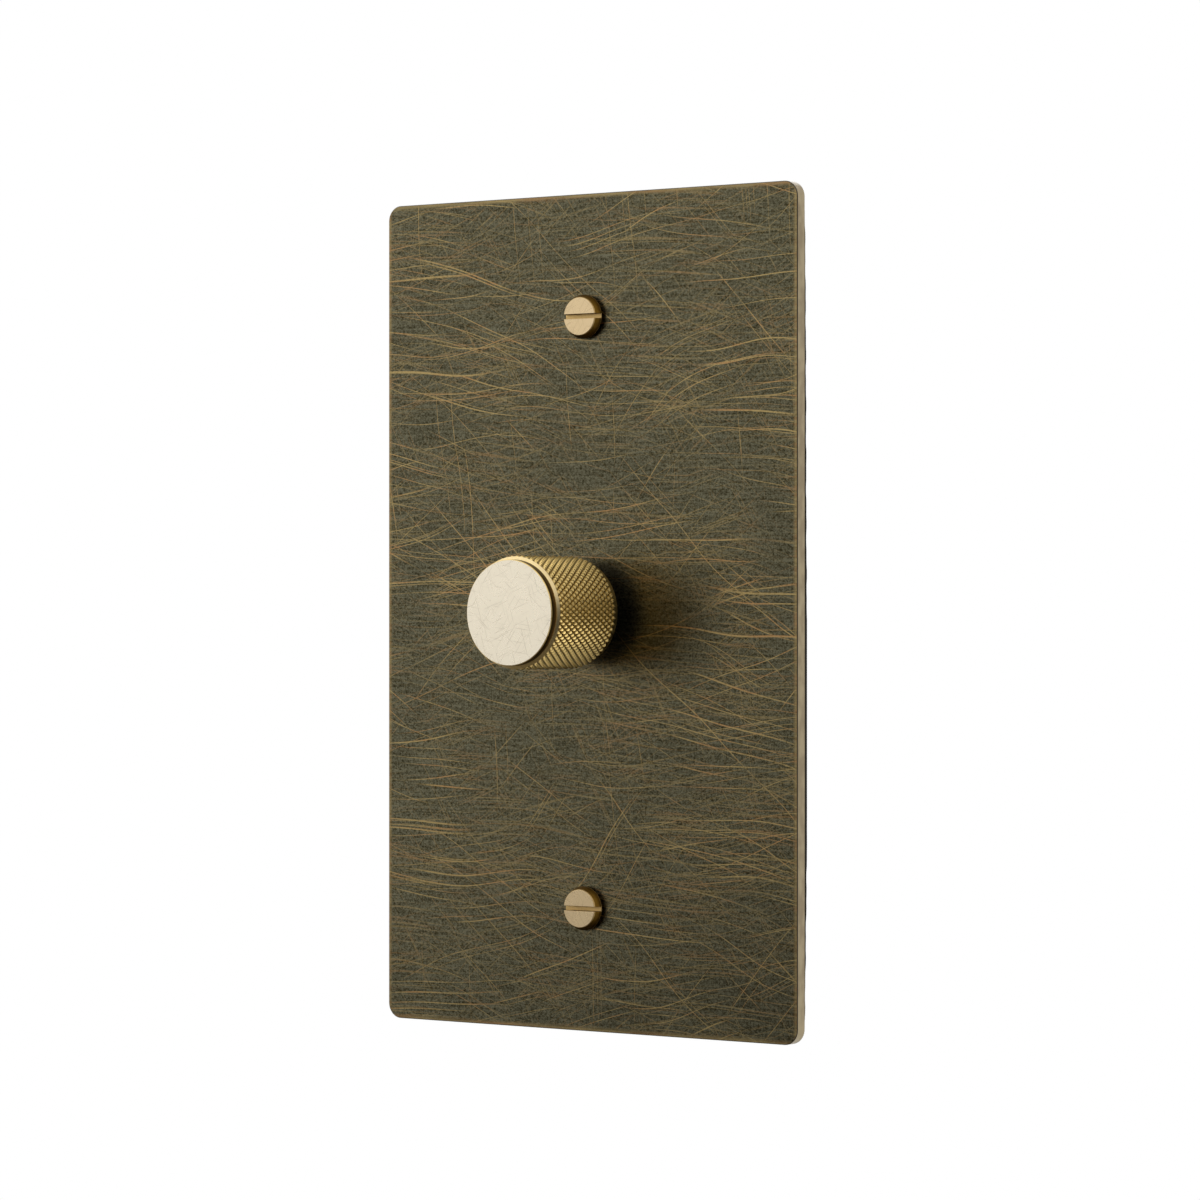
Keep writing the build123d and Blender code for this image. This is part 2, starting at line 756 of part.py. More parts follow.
# Switch plunger: a round nose through the board, a square flange and a post inside the spring
with BuildPart() as switch_plunger:
    with BuildSketch(wall_plane(plunger_front)):
        Circle(shaft_tip_radius)
    extrude(amount=plunger_front - shaft_tip)
    with BuildSketch(wall_plane(plunger_back)):
        Rectangle(2 * plunger_half_width, 2 * plunger_half_width)
    extrude(amount=plunger_flange)
    with BuildSketch(wall_plane(plunger_back + plunger_post_length)):
        Circle(plunger_post_radius)
    extrude(amount=plunger_post_length)

# Moving contact: a strip across the back of the plunger, open round the spring
contact_half_length = switch_half_width - switch_wall - contact_thickness - 2 * contact_gap
with BuildPart() as moving_contact:
    with BuildSketch(wall_plane(contact_back)):
        Rectangle(2 * contact_half_length, contact_width)
        Circle(spring_radius + spring_wire + spring_room, mode=Mode.SUBTRACT)
    extrude(amount=contact_thickness)

# Fixed contacts: two bent strips, each with a foot on the board and a pad behind the moving contact
with BuildPart() as fixed_contacts:
    wall_x = switch_half_width - switch_wall
    tongue_x = contact_half_length - contact_overlap
    with BuildSketch(Plane.XY):
        for side in (-1, 1):
            with BuildLine():
                Polyline(
                    (side * wall_x, board_back),
                    (side * wall_x, fixed_contact_front + contact_thickness),
                    (side * tongue_x, fixed_contact_front + contact_thickness),
                    (side * tongue_x, fixed_contact_front),
                    (side * (wall_x - contact_thickness), fixed_contact_front),
                    (side * (wall_x - contact_thickness), board_back),
                    close=True,
                )
            make_face()
    extrude(amount=contact_pad_width / 2, both=True)

# Return spring: square wire between the plunger and the floor of the switch housing
spring_start = plunger_back + spring_wire / 2
spring_end = switch_floor - spring_wire / 2
spring_pitch = (spring_end - spring_start) / spring_turns
with BuildPart() as return_spring:
    with BuildLine() as coil:
        Helix(
            spring_pitch,
            spring_end - spring_start,
            spring_radius,
            center=(0, spring_start, 0),
            direction=(0, 1, 0),
        )
    with BuildSketch(Plane(coil.line @ 0, z_dir=coil.line % 0)):
        Rectangle(spring_wire, spring_wire)
    sweep(is_frenet=True)

# Terminal block: two pockets for the clamps, wire entries below and screw holes behind
with BuildPart() as terminal_block:
    with BuildSketch(wall_plane(terminal_back)):
        with Locations((0, (terminal_top + terminal_bottom) / 2)):
            Rectangle(terminal_width, terminal_top - terminal_bottom)
    extrude(amount=terminal_back - board_back)
    chamfer(terminal_block.faces().sort_by(Axis.Y)[-1].edges(), terminal_edge)
    with BuildSketch(wall_plane(terminal_pocket_back)):
        with Locations(*terminal_screw_places):
            Rectangle(terminal_clamp_width, terminal_pocket_height)
    extrude(amount=terminal_pocket_back - board_back, mode=Mode.SUBTRACT)
    with BuildSketch(wall_plane(terminal_back)):
        with Locations(*terminal_screw_places):
            Circle(terminal_head_radius + terminal_clamp_room)
    extrude(amount=terminal_rear_wall, mode=Mode.SUBTRACT)
    with BuildSketch(Plane.XY.offset(terminal_bottom)):
        with Locations(*[(x, terminal_wire_depth) for x in terminal_places]):
            Circle(terminal_entry_radius)
    extrude(amount=terminal_entry_wall, mode=Mode.SUBTRACT)

# Terminal clamps: brass blocks on the board, each with a wire hole and a threaded hole
with BuildPart() as terminal_clamps:
    clamp_height = terminal_pocket_height - 2 * terminal_clamp_room
    with BuildSketch(wall_plane(terminal_clamp_end)):
        with Locations(*terminal_screw_places):
            Rectangle(terminal_clamp_width - 2 * terminal_clamp_room, clamp_height)
    extrude(amount=terminal_clamp_end - board_back)
    with BuildSketch(Plane.XY.offset(terminal_pocket_middle)):
        with Locations(*[(x, terminal_wire_depth) for x in terminal_places]):
            Circle(terminal_wire_radius)
    extrude(amount=clamp_height, both=True, mode=Mode.SUBTRACT)
    with BuildSketch(wall_plane(terminal_clamp_end)):
        with Locations(*terminal_screw_places):
            Circle(terminal_screw_radius + thread_fit)
    extrude(amount=terminal_clamp_end - terminal_wire_depth, mode=Mode.SUBTRACT)

# Terminal screws: slotted screws, backed off so that a wire can enter
with BuildPart() as terminal_screws:
    terminal_screw_tip = terminal_wire_depth + terminal_wire_radius
    with BuildSketch(wall_plane(terminal_head_seat)):
        with Locations(*terminal_screw_places):
            Circle(terminal_screw_radius)
    extrude(amount=terminal_head_seat - terminal_screw_tip)
    with BuildSketch(wall_plane(terminal_head_face)):
        with Locations(*terminal_screw_places):
            Circle(terminal_head_radius)
    extrude(amount=terminal_head_height)
    with BuildSketch(wall_plane(terminal_head_face)):
        with Locations(*terminal_screw_places):
            Rectangle(3 * terminal_head_radius, terminal_slot_width)
    extrude(amount=terminal_slot_depth, mode=Mode.SUBTRACT)

# Heat sink: an upright plate on the board
with BuildPart() as heat_sink:
    with BuildSketch(wall_plane(board_back + sink_depth)):
        with Locations((0, (sink_top + sink_bottom) / 2)):
            Rectangle(inner_width - 2 * sink_side_room, sink_thickness)
    extrude(amount=sink_depth)

# Power transistors: two flat packages against the heat sink, on leads from the board
with BuildPart() as power_transistors:
    for x in (-transistor_pitch / 2, transistor_pitch / 2):
        with BuildSketch(wall_plane(board_back + transistor_stand + transistor_depth)):
            with Locations((x, transistor_z)):
                Rectangle(transistor_width, transistor_thickness)
        extrude(amount=transistor_depth)
        with BuildSketch(wall_plane(board_back + transistor_stand)):
            with Locations((x, transistor_z)):
                with GridLocations(transistor_width / 3, 0, 3, 1):
                    Rectangle(transistor_lead, transistor_lead)
        extrude(amount=transistor_stand)

# Film capacitor: a moulded box on the board
with BuildPart() as film_capacitor:
    with BuildSketch(wall_plane(board_back + film_depth)):
        with Locations(film_place):
            RectangleRounded(film_width, film_height, film_edge)
    extrude(amount=film_depth)

# Supply capacitor: a round can on the board
with BuildPart() as supply_capacitor:
    with BuildSketch(wall_plane(board_back + can_depth)):
        with Locations(can_place):
            Circle(can_radius)
    extrude(amount=can_depth)
    chamfer(supply_capacitor.faces().sort_by(Axis.Y)[-1].edges(), can_edge)

# Controller chip: a flat package on the front of the board
with BuildPart() as controller_chip:
    with BuildSketch(wall_plane(board_front)):
        with Locations((0, chip_z)):
            Rectangle(chip_width, chip_height)
    extrude(amount=chip_depth)

# Choke: a wound drum on the front of the board
with BuildPart() as choke:
    choke_front = board_front - choke_depth
    with BuildSketch(Plane.XY.offset(choke_z)):
        with BuildLine():
            Polyline(
                (0, choke_front),
                (choke_radius, choke_front),
                (choke_radius, choke_front + choke_flange),
                (choke_radius - choke_waist, choke_front + choke_flange),
                (choke_radius - choke_waist, board_front - choke_flange),
                (choke_radius, board_front - choke_flange),
                (choke_radius, board_front),
                (0, board_front),
                close=True,
            )
        make_face()
    revolve(axis=Axis((0, 0, choke_z), (0, 1, 0)))

pieces = {
    "face_plate": face_plate,
    "wall_gasket": wall_gasket,
    "fixing_screws": fixing_screws,
    "knob": knob,
    "knob_insert": knob_insert,
    "shaft": shaft,
    "retaining_clip": retaining_clip,
    "mounting_strap": mounting_strap,
    "earth_screw": earth_screw,
    "bush": bush,
    "lock_washer": lock_washer,
    "bush_nut": bush_nut,
    "case_front": case_front,
    "case_rear": case_rear,
    "case_screws": case_screws,
    "circuit_board": circuit_board,
    "pot_housing": pot_housing,
    "rotor": rotor,
    "wiper": wiper,
    "track_wafer": track_wafer,
    "control_pins": control_pins,
    "switch_housing": switch_housing,
    "switch_plunger": switch_plunger,
    "moving_contact": moving_contact,
    "fixed_contacts": fixed_contacts,
    "return_spring": return_spring,
    "terminal_block": terminal_block,
    "terminal_clamps": terminal_clamps,
    "terminal_screws": terminal_screws,
    "heat_sink": heat_sink,
    "power_transistors": power_transistors,
    "film_capacitor": film_capacitor,
    "supply_capacitor": supply_capacitor,
    "controller_chip": controller_chip,
    "choke": choke,
}

os.makedirs("parts", exist_ok=True)
for name, piece in pieces.items():
    piece.part.label = name
    export_step(piece.part, f"parts/{name}.step")
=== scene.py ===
import logging
import math
from dataclasses import dataclass, field
from enum import Enum
from functools import lru_cache
from typing import Sequence, Union

import bmesh
import bpy
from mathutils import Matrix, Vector


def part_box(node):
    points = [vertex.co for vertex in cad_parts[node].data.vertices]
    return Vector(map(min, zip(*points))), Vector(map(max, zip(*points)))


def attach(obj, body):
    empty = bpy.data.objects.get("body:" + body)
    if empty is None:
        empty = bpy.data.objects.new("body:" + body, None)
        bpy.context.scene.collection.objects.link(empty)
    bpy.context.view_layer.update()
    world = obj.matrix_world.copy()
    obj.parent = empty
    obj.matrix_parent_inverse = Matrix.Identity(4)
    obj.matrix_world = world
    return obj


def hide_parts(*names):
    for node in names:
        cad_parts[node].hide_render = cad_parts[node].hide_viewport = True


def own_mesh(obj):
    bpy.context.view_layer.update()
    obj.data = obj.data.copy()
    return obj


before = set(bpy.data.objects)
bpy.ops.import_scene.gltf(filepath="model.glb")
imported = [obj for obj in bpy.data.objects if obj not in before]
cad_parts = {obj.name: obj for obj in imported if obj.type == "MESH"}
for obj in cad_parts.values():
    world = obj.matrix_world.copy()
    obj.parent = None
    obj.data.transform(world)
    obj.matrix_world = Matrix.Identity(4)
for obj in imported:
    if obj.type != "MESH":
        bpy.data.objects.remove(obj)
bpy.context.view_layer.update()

# Rotary dimmer switch: a dark bronze wall plate with a knurled brass knob, two brass screws and the
# module behind. Lengths in the classes are millimetres unless they say otherwise, and MM turns them
# into the frame's metres. Angles are degrees.
MM = 0.001
# Angles above which an edge counts as sharp, on worked pieces and on wound wire.
CREASE = 28.0
WIRE_CREASE = 50.0
# Places of the colour mixer's sockets, whose names repeat for each kind of value.
MIX_SHARE, MIX_FIRST, MIX_SECOND, MIX_RESULT = 0, 6, 7, 2

Socket = bpy.types.NodeSocket
Pair = tuple[float, float]
Colour = tuple[float, float, float, float]
Level = Union[float, Socket]
Tint = Union[Colour, Socket]

log = logging.getLogger("dimmer")


def tint(red: int, green: int, blue: int) -> Colour:
    """Turn a screen colour into the linear colour that a shader takes.

    Args:
        red: red on the screen, 0 to 255.
        green: green on the screen, 0 to 255.
        blue: blue on the screen, 0 to 255.

    Returns:
        The linear colour with full alpha.
    """
    knee, slope, lift, power = 0.04045, 12.92, 0.055, 2.4
    linear = []
    for value in (red, green, blue):
        share = value / 255
        linear.append(share / slope if share <= knee else ((share + lift) / (1.0 + lift)) ** power)
    return (linear[0], linear[1], linear[2], 1.0)


class Graph:
    """Adds and links the nodes of one shader tree."""

    def __init__(self, tree: bpy.types.NodeTree) -> None:
        """Empty the tree and keep it."""
        tree.nodes.clear()
        self.tree = tree

    def add(self, kind: str, **settings: object) -> bpy.types.Node:
        """Add one node.

        Args:
            kind: the node's type.
            settings: properties of the node and their values.

        Returns:
            The new node.
        """
        node = self.tree.nodes.new(kind)
        for name, value in settings.items():
            setattr(node, name, value)
        return node

    def feed(self, socket: Socket, value: object) -> None:
        """Link a socket to another socket, or set it to a plain value."""
        if isinstance(value, bpy.types.NodeSocket):
            self.tree.links.new(value, socket)
        else:
            socket.default_value = value

    def math(self, operation: str, *levels: Level) -> Socket:
        """Work out one sum.

        Args:
            operation: the sum's name.
            levels: the levels that it takes.

        Returns:
            The socket with the result.
        """
        node = self.add("ShaderNodeMath", operation=operation)
        for socket, level in zip(node.inputs, levels):
            self.feed(socket, level)
        return node.outputs[0]

    def rise(self, level: Level, low: float, high: float) -> Socket:
        """Step smoothly from 0 at low to 1 at high.

        Args:
            level: the level to step on.
            low: where the step starts.
            high: where the step ends, which may be the smaller one.

        Returns:
            The socket with the step.
        """
        node = self.add("ShaderNodeMapRange", interpolation_type="SMOOTHSTEP")
        self.feed(node.inputs["Value"], level)
        node.inputs["From Min"].default_value = low
        node.inputs["From Max"].default_value = high
        return node.outputs["Result"]

    def span(self, level: Level, low: float, high: float) -> Socket:
        """Spread a level of 0 to 1 over the range from low to high.

        Args:
            level: a level of 0 to 1.
            low: the result at 0.
            high: the result at 1.

        Returns:
            The socket with the result.
        """
        node = self.add("ShaderNodeMapRange")
        self.feed(node.inputs["Value"], level)
        node.inputs["To Min"].default_value = low
        node.inputs["To Max"].default_value = high
        return node.outputs["Result"]

    def mix(self, share: Level, first: Tint, second: Tint, blend: str = "MIX") -> Socket:
        """Mix two colours.

        Args:
            share: how much of the second colour shows.
            first: the colour at a share of 0.
            second: the colour at a share of 1.
            blend: how the second colour acts on the first.

        Returns:
            The socket with the mixed colour.
        """
        node = self.add("ShaderNodeMix", data_type="RGBA", blend_type=blend)
        self.feed(node.inputs[MIX_SHARE], share)
        self.feed(node.inputs[MIX_FIRST], first)
        self.feed(node.inputs[MIX_SECOND], second)
        return node.outputs[MIX_RESULT]

    def shade(self, colour: Tint, level: Socket) -> Socket:
        """Multiply a colour by a level."""
        return self.mix(1.0, colour, level, "MULTIPLY")

    def noise(self, place: Socket, scale: float, detail: float = 2.0, roughness: float = 0.5) -> Socket:
        """Cloudy noise of 0 to 1.

        Args:
            place: the point that is painted.
            scale: clouds for each unit of length.
            detail: how many finer layers are added.
            roughness: how strong the finer layers are.

        Returns:
            The socket with the noise.
        """
        node = self.add("ShaderNodeTexNoise")
        self.feed(node.inputs["Vector"], place)
        node.inputs["Scale"].default_value = scale
        node.inputs["Detail"].default_value = detail
        node.inputs["Roughness"].default_value = roughness
        return node.outputs["Fac"]

    def axes(self, place: Socket) -> tuple[Socket, Socket, Socket]:
        """Split a point into its three places along the axes."""
        node = self.add("ShaderNodeSeparateXYZ")
        self.feed(node.inputs[0], place)
        return node.outputs[0], node.outputs[1], node.outputs[2]

    def point(self, x: Level, y: Level, z: Level) -> Socket:
        """Join three places along the axes into a point."""
        node = self.add("ShaderNodeCombineXYZ")
        for socket, value in zip(node.inputs, (x, y, z)):
            self.feed(socket, value)
        return node.outputs[0]

    def stretch(self, place: Socket, x: float, y: float, z: float, turn: float = 0.0) -> Socket:
        """Scale a point along its axes, then turn it about the third one.

        Args:
            place: the point.
            x: scale along the first axis.
            y: scale along the second axis.
            z: scale along the third axis.
            turn: angle in degrees.

        Returns:
            The socket with the new point.
        """
        node = self.add("ShaderNodeMapping")
        self.feed(node.inputs["Vector"], place)
        node.inputs["Scale"].default_value = (x, y, z)
        node.inputs["Rotation"].default_value = (0.0, 0.0, math.radians(turn))
        return node.outputs[0]

    def millimetres(self) -> Socket:
        """The painted point in the piece's own frame, in millimetres."""
        node = self.add("ShaderNodeVectorMath", operation="SCALE")
        self.feed(node.inputs[0], self.add("ShaderNodeTexCoord").outputs["Object"])
        node.inputs["Scale"].default_value = 1.0 / MM
        return node.outputs[0]

    def bump(self, height: Socket, depth: float) -> Socket:
        """Tilt the surface by a height.

        Args:
            height: height of 0 to 1.
            depth: what a height of 1 measures.

        Returns:
            The socket with the tilted normal.
        """
        node = self.add("ShaderNodeBump")
        node.inputs["Distance"].default_value = depth * MM
        self.feed(node.inputs["Height"], height)
        return node.outputs[0]


@dataclass(frozen=True)
class Finish:
    """A surface finish that paints one material.

    A scale counts marks for each millimetre. An edge, reach or start is where a step begins and ends.
    A tone multiplies the colour, and tones, contrasts and glosses are given at a level of 0 and of 1.
    """

    name: str

    def paint(self, graph: Graph, shader: bpy.types.Node) -> None:
        """Link colour, gloss and relief to the shader.

        Args:
            graph: the material's nodes.
            shader: the surface shader to link them to.
        """
        raise NotImplementedError


@lru_cache(maxsize=None)
def material_of(finish: Finish) -> bpy.types.Material:
    """Make a finish's material, once.

    Args:
        finish: the finish to paint.

    Returns:
        The material.
    """
    material = bpy.data.materials.new(f"finish_{finish.name}")
    material.use_nodes = True
    graph = Graph(material.node_tree)
    shader = graph.add("ShaderNodeBsdfPrincipled")
    output = graph.add("ShaderNodeOutputMaterial")
    graph.feed(output.inputs["Surface"], shader.outputs["BSDF"])
    finish.paint(graph, shader)
    return material


@dataclass(frozen=True)
class Scratches:
    """One family of long scratches that run roughly the same way."""

    turn: float
    length: float
    width: float
    rarity: float
    swing: float
    seed: float
    strength: float = 1.0

    def mask(self, graph: Graph, sheet: Socket) -> Socket:
        """Draw the family.

        Args:
            graph: the material's nodes.
            sheet: the point on the flat sheet, in millimetres.

        Returns:
            The socket that is the family's strength on a scratch and 0 off it.
        """
        swing_length = 34.0
        edge = 0.06
        turned = graph.stretch(sheet, 1.0, 1.0, 1.0, self.turn)
        along, across, _ = graph.axes(turned)
        wander = graph.noise(graph.point(along, across, self.seed), 1.0 / swing_length, 1.0)
        swung = graph.math("ADD", across, graph.math("MULTIPLY", wander, self.swing))
        cells = graph.point(
            graph.math("DIVIDE", along, self.length),
            graph.math("DIVIDE", swung, self.width),
            self.seed,
        )
        line = graph.rise(graph.noise(cells, 1.0, 0.0), self.rarity, self.rarity + edge)
        return graph.math("MULTIPLY", line, self.strength)


@dataclass(frozen=True)
class PatinaBronze(Finish):
    """Dark bronze sheet, brushed and rubbed back in long scratches, with a bare cut edge and painted light
    at its lower left.
    """

    half_width: float
    half_height: float
    front: float
    shade: Colour = tint(46, 42, 25)
    light: Colour = tint(103, 100, 81)
    gold: Colour = tint(158, 137, 91)
    copper: Colour = tint(160, 126, 83)
    cut_edge: Colour = tint(156, 140, 105)
    cut_shade: Colour = tint(132, 115, 82)
    arris: Colour = tint(60, 50, 30)
    stroke_scale: Pair = (1.4, 4.8)
    grain_scale: Pair = (0.16, 2.6)
    warm_scale: Pair = (0.08, 1.2)
    warm_edge: Pair = (0.46, 0.62)
    cloud_scale: Pair = (0.05, 0.09)
    cloud_edge: Pair = (0.36, 0.58)
    blotch_scale: float = 0.09
    blotch_tone: Pair = (0.86, 1.14)
    # Painted light that brightens the patina toward the lower left corner: where it starts across and down,
    # and its tone.
    painted_light_across: Pair = (20.0, -30.0)
    painted_light_down: Pair = (30.0, -55.0)
    painted_light_tone: Pair = (1.0, 1.2)
    speckle_contrast: Pair = (-3.0, 3.0)
    grain_contrast: Pair = (-0.1, 1.1)
    worn_contrast: Pair = (-1.2, 3.2)
    border_contrast: Pair = (0.1, 1.1)
    border_reach: Pair = (0.85, 0.1)
    arris_reach: Pair = (0.12, 0.2)
    band_scale: tuple[float, float, float] = (1.0, 0.6, 0.35)
    band_edge: Pair = (0.35, 0.65)
    face_reach: float = 0.03
    edge_metal: float = 0.15
    gloss: Pair = (0.22, 0.46)
    relief: float = 0.004
    hatch_turns: tuple[float, ...] = (2.0, 34.0, -38.0, 88.0)
    # Turn, length, width, rarity, swing, seed and strength of each family.
    families: tuple[Scratches, ...] = (
        Scratches(1.0, 58.0, 0.24, 0.725, 9.0, 1.7, 1.0),
        Scratches(-8.0, 62.0, 0.23, 0.73, 11.0, 5.3, 1.0),
        Scratches(10.0, 58.0, 0.23, 0.73, 11.0, 9.1, 1.0),
        Scratches(-20.0, 54.0, 0.22, 0.74, 11.0, 13.9, 1.0),
        Scratches(23.0, 54.0, 0.22, 0.74, 11.0, 17.3, 1.0),
        Scratches(42.0, 44.0, 0.21, 0.755, 9.0, 21.7, 0.95),
        Scratches(-47.0, 44.0, 0.21, 0.755, 9.0, 25.1, 0.95),
        Scratches(85.0, 40.0, 0.21, 0.76, 6.0, 29.9, 0.85),
        Scratches(3.0, 20.0, 0.22, 0.65, 5.0, 33.7, 0.36),
        Scratches(-15.0, 17.0, 0.20, 0.665, 6.0, 37.3, 0.33),
        Scratches(18.0, 17.0, 0.20, 0.665, 6.0, 41.9, 0.33),
        Scratches(-36.0, 12.0, 0.19, 0.685, 6.0, 45.1, 0.32),
        Scratches(60.0, 10.0, 0.19, 0.695, 6.0, 49.7, 0.32),
    )

    def hatch(self, graph: Graph, sheet: Socket) -> Socket:
        """Cross fine short strokes that run every way, most of them near level.

        Args:
            graph: the material's nodes.
            sheet: the point on the sheet, in millimetres.

        Returns:
            The socket with the strokes, about 0.5 on average.
        """
        strokes: Level = 0.0
        for turn in self.hatch_turns:
            turned = graph.stretch(sheet, 1.0, 1.0, 1.0, turn)
            layer = graph.noise(graph.stretch(turned, *self.stroke_scale, 1.0), 1.0, 2.0, 0.65)
            strokes = graph.math("ADD", strokes, layer)
        return graph.math("DIVIDE", strokes, float(len(self.hatch_turns)))

    def rubbed(self, graph: Graph, sheet: Socket) -> Socket:
        """Lay the families of scratches over each other, each in patches of its own.

        Args:
            graph: the material's nodes.
            sheet: the point on the sheet, in millimetres.

        Returns:
            The socket that says how far the patina is rubbed away.
        """
        total: Level = 0.0
        for family in self.families:
            cloud = graph.noise(graph.stretch(sheet, *self.cloud_scale, 1.0, family.seed), 1.0, 1.0)
            patches = graph.rise(cloud, *self.cloud_edge)
            line = graph.math("MULTIPLY", family.mask(graph, sheet), patches)
            total = graph.math("MAXIMUM", total, line)
        return total

    def patina(self, graph: Graph, sheet: Socket, speckle: Socket, grain: Socket) -> Socket:
        """Brush the dark patina, with painted light that brightens it toward the lower left corner.

        Args:
            graph: the material's nodes.
            sheet: the point on the sheet, in millimetres.
            speckle: the fine short strokes.
            grain: the long brush marks.

        Returns:
            The socket with the patina's colour.
        """
        x, z, _ = graph.axes(sheet)
        fine = graph.span(speckle, *self.speckle_contrast)
        strokes = graph.math("ADD", fine, graph.span(grain, *self.grain_contrast))
        blotch = graph.span(graph.noise(sheet, self.blotch_scale, 3.0), *self.blotch_tone)
        # Painted light: the patina brightens toward the lower left corner.
        painted_light_corner = graph.math("MULTIPLY", graph.rise(x, *self.painted_light_across), graph.rise(z, *self.painted_light_down))
        tone = graph.math("MULTIPLY", blotch, graph.span(painted_light_corner, *self.painted_light_tone))
        return graph.shade(graph.mix(strokes, self.shade, self.light), tone)

    def border(self, graph: Graph, x: Socket, z: Socket) -> Socket:
        """Rub the patina away along the sheet's outline.

        Args:
            graph: the material's nodes.
            x: place across the sheet, in millimetres.
            z: place up the sheet, in millimetres.

        Returns:
            The socket that is 1 on the outline and 0 inside the border.
        """
        to_side = graph.math("SUBTRACT", self.half_width, graph.math("ABSOLUTE", x))
        to_end = graph.math("SUBTRACT", self.half_height, graph.math("ABSOLUTE", z))
        return graph.rise(graph.math("MINIMUM", to_side, to_end), *self.border_reach)

    def bare_side(self, graph: Graph, place: Socket, depth: Socket) -> Socket:
        """Band the cut edge, with a dark arris along its front.

        Args:
            graph: the material's nodes.
            place: the painted point, in millimetres.
            depth: how far behind the sheet's face it lies.

        Returns:
            The socket with the edge's colour.
        """
        bands = graph.noise(graph.stretch(place, *self.band_scale), 1.0, 3.0)
        side = graph.mix(graph.rise(bands, *self.band_edge), self.cut_shade, self.cut_edge)
        return graph.mix(graph.rise(depth, *self.arris_reach), self.arris, side)

    def paint(self, graph: Graph, shader: bpy.types.Node) -> None:
        """Link the patina, its scratches, the rubbed border and the bare edge."""
        place = graph.millimetres()
        x, y, z = graph.axes(place)
        sheet = graph.point(x, z, 0.0)
        speckle = self.hatch(graph, sheet)
        grain = graph.noise(graph.stretch(sheet, *self.grain_scale, 1.0), 1.0, 2.0, 0.6)
        rubbed = self.rubbed(graph, sheet)
        warm = graph.noise(graph.stretch(sheet, *self.warm_scale, 1.0), 1.0, 2.0)
        metal = graph.mix(graph.rise(warm, *self.warm_edge), self.gold, self.copper)
        worn = graph.math("MULTIPLY", rubbed, graph.span(speckle, *self.worn_contrast))
        uneven = graph.span(grain, *self.border_contrast)
        border = graph.math("MULTIPLY", self.border(graph, x, z), uneven)
        bare = graph.math("MAXIMUM", worn, border)
        face = graph.mix(bare, self.patina(graph, sheet, speckle, grain), metal)
        depth = graph.math("SUBTRACT", y, self.front)
        on_edge = graph.rise(depth, 0.0, self.face_reach)
        colour = graph.mix(on_edge, face, self.bare_side(graph, place, depth))
        graph.feed(shader.inputs["Base Color"], colour)
        graph.feed(shader.inputs["Metallic"], graph.span(on_edge, 1.0, self.edge_metal))
        graph.feed(shader.inputs["Roughness"], graph.span(speckle, *self.gloss))
        relief = graph.math("SUBTRACT", graph.math("ADD", speckle, grain), rubbed)
        graph.feed(shader.inputs["Normal"], graph.bump(relief, self.relief))


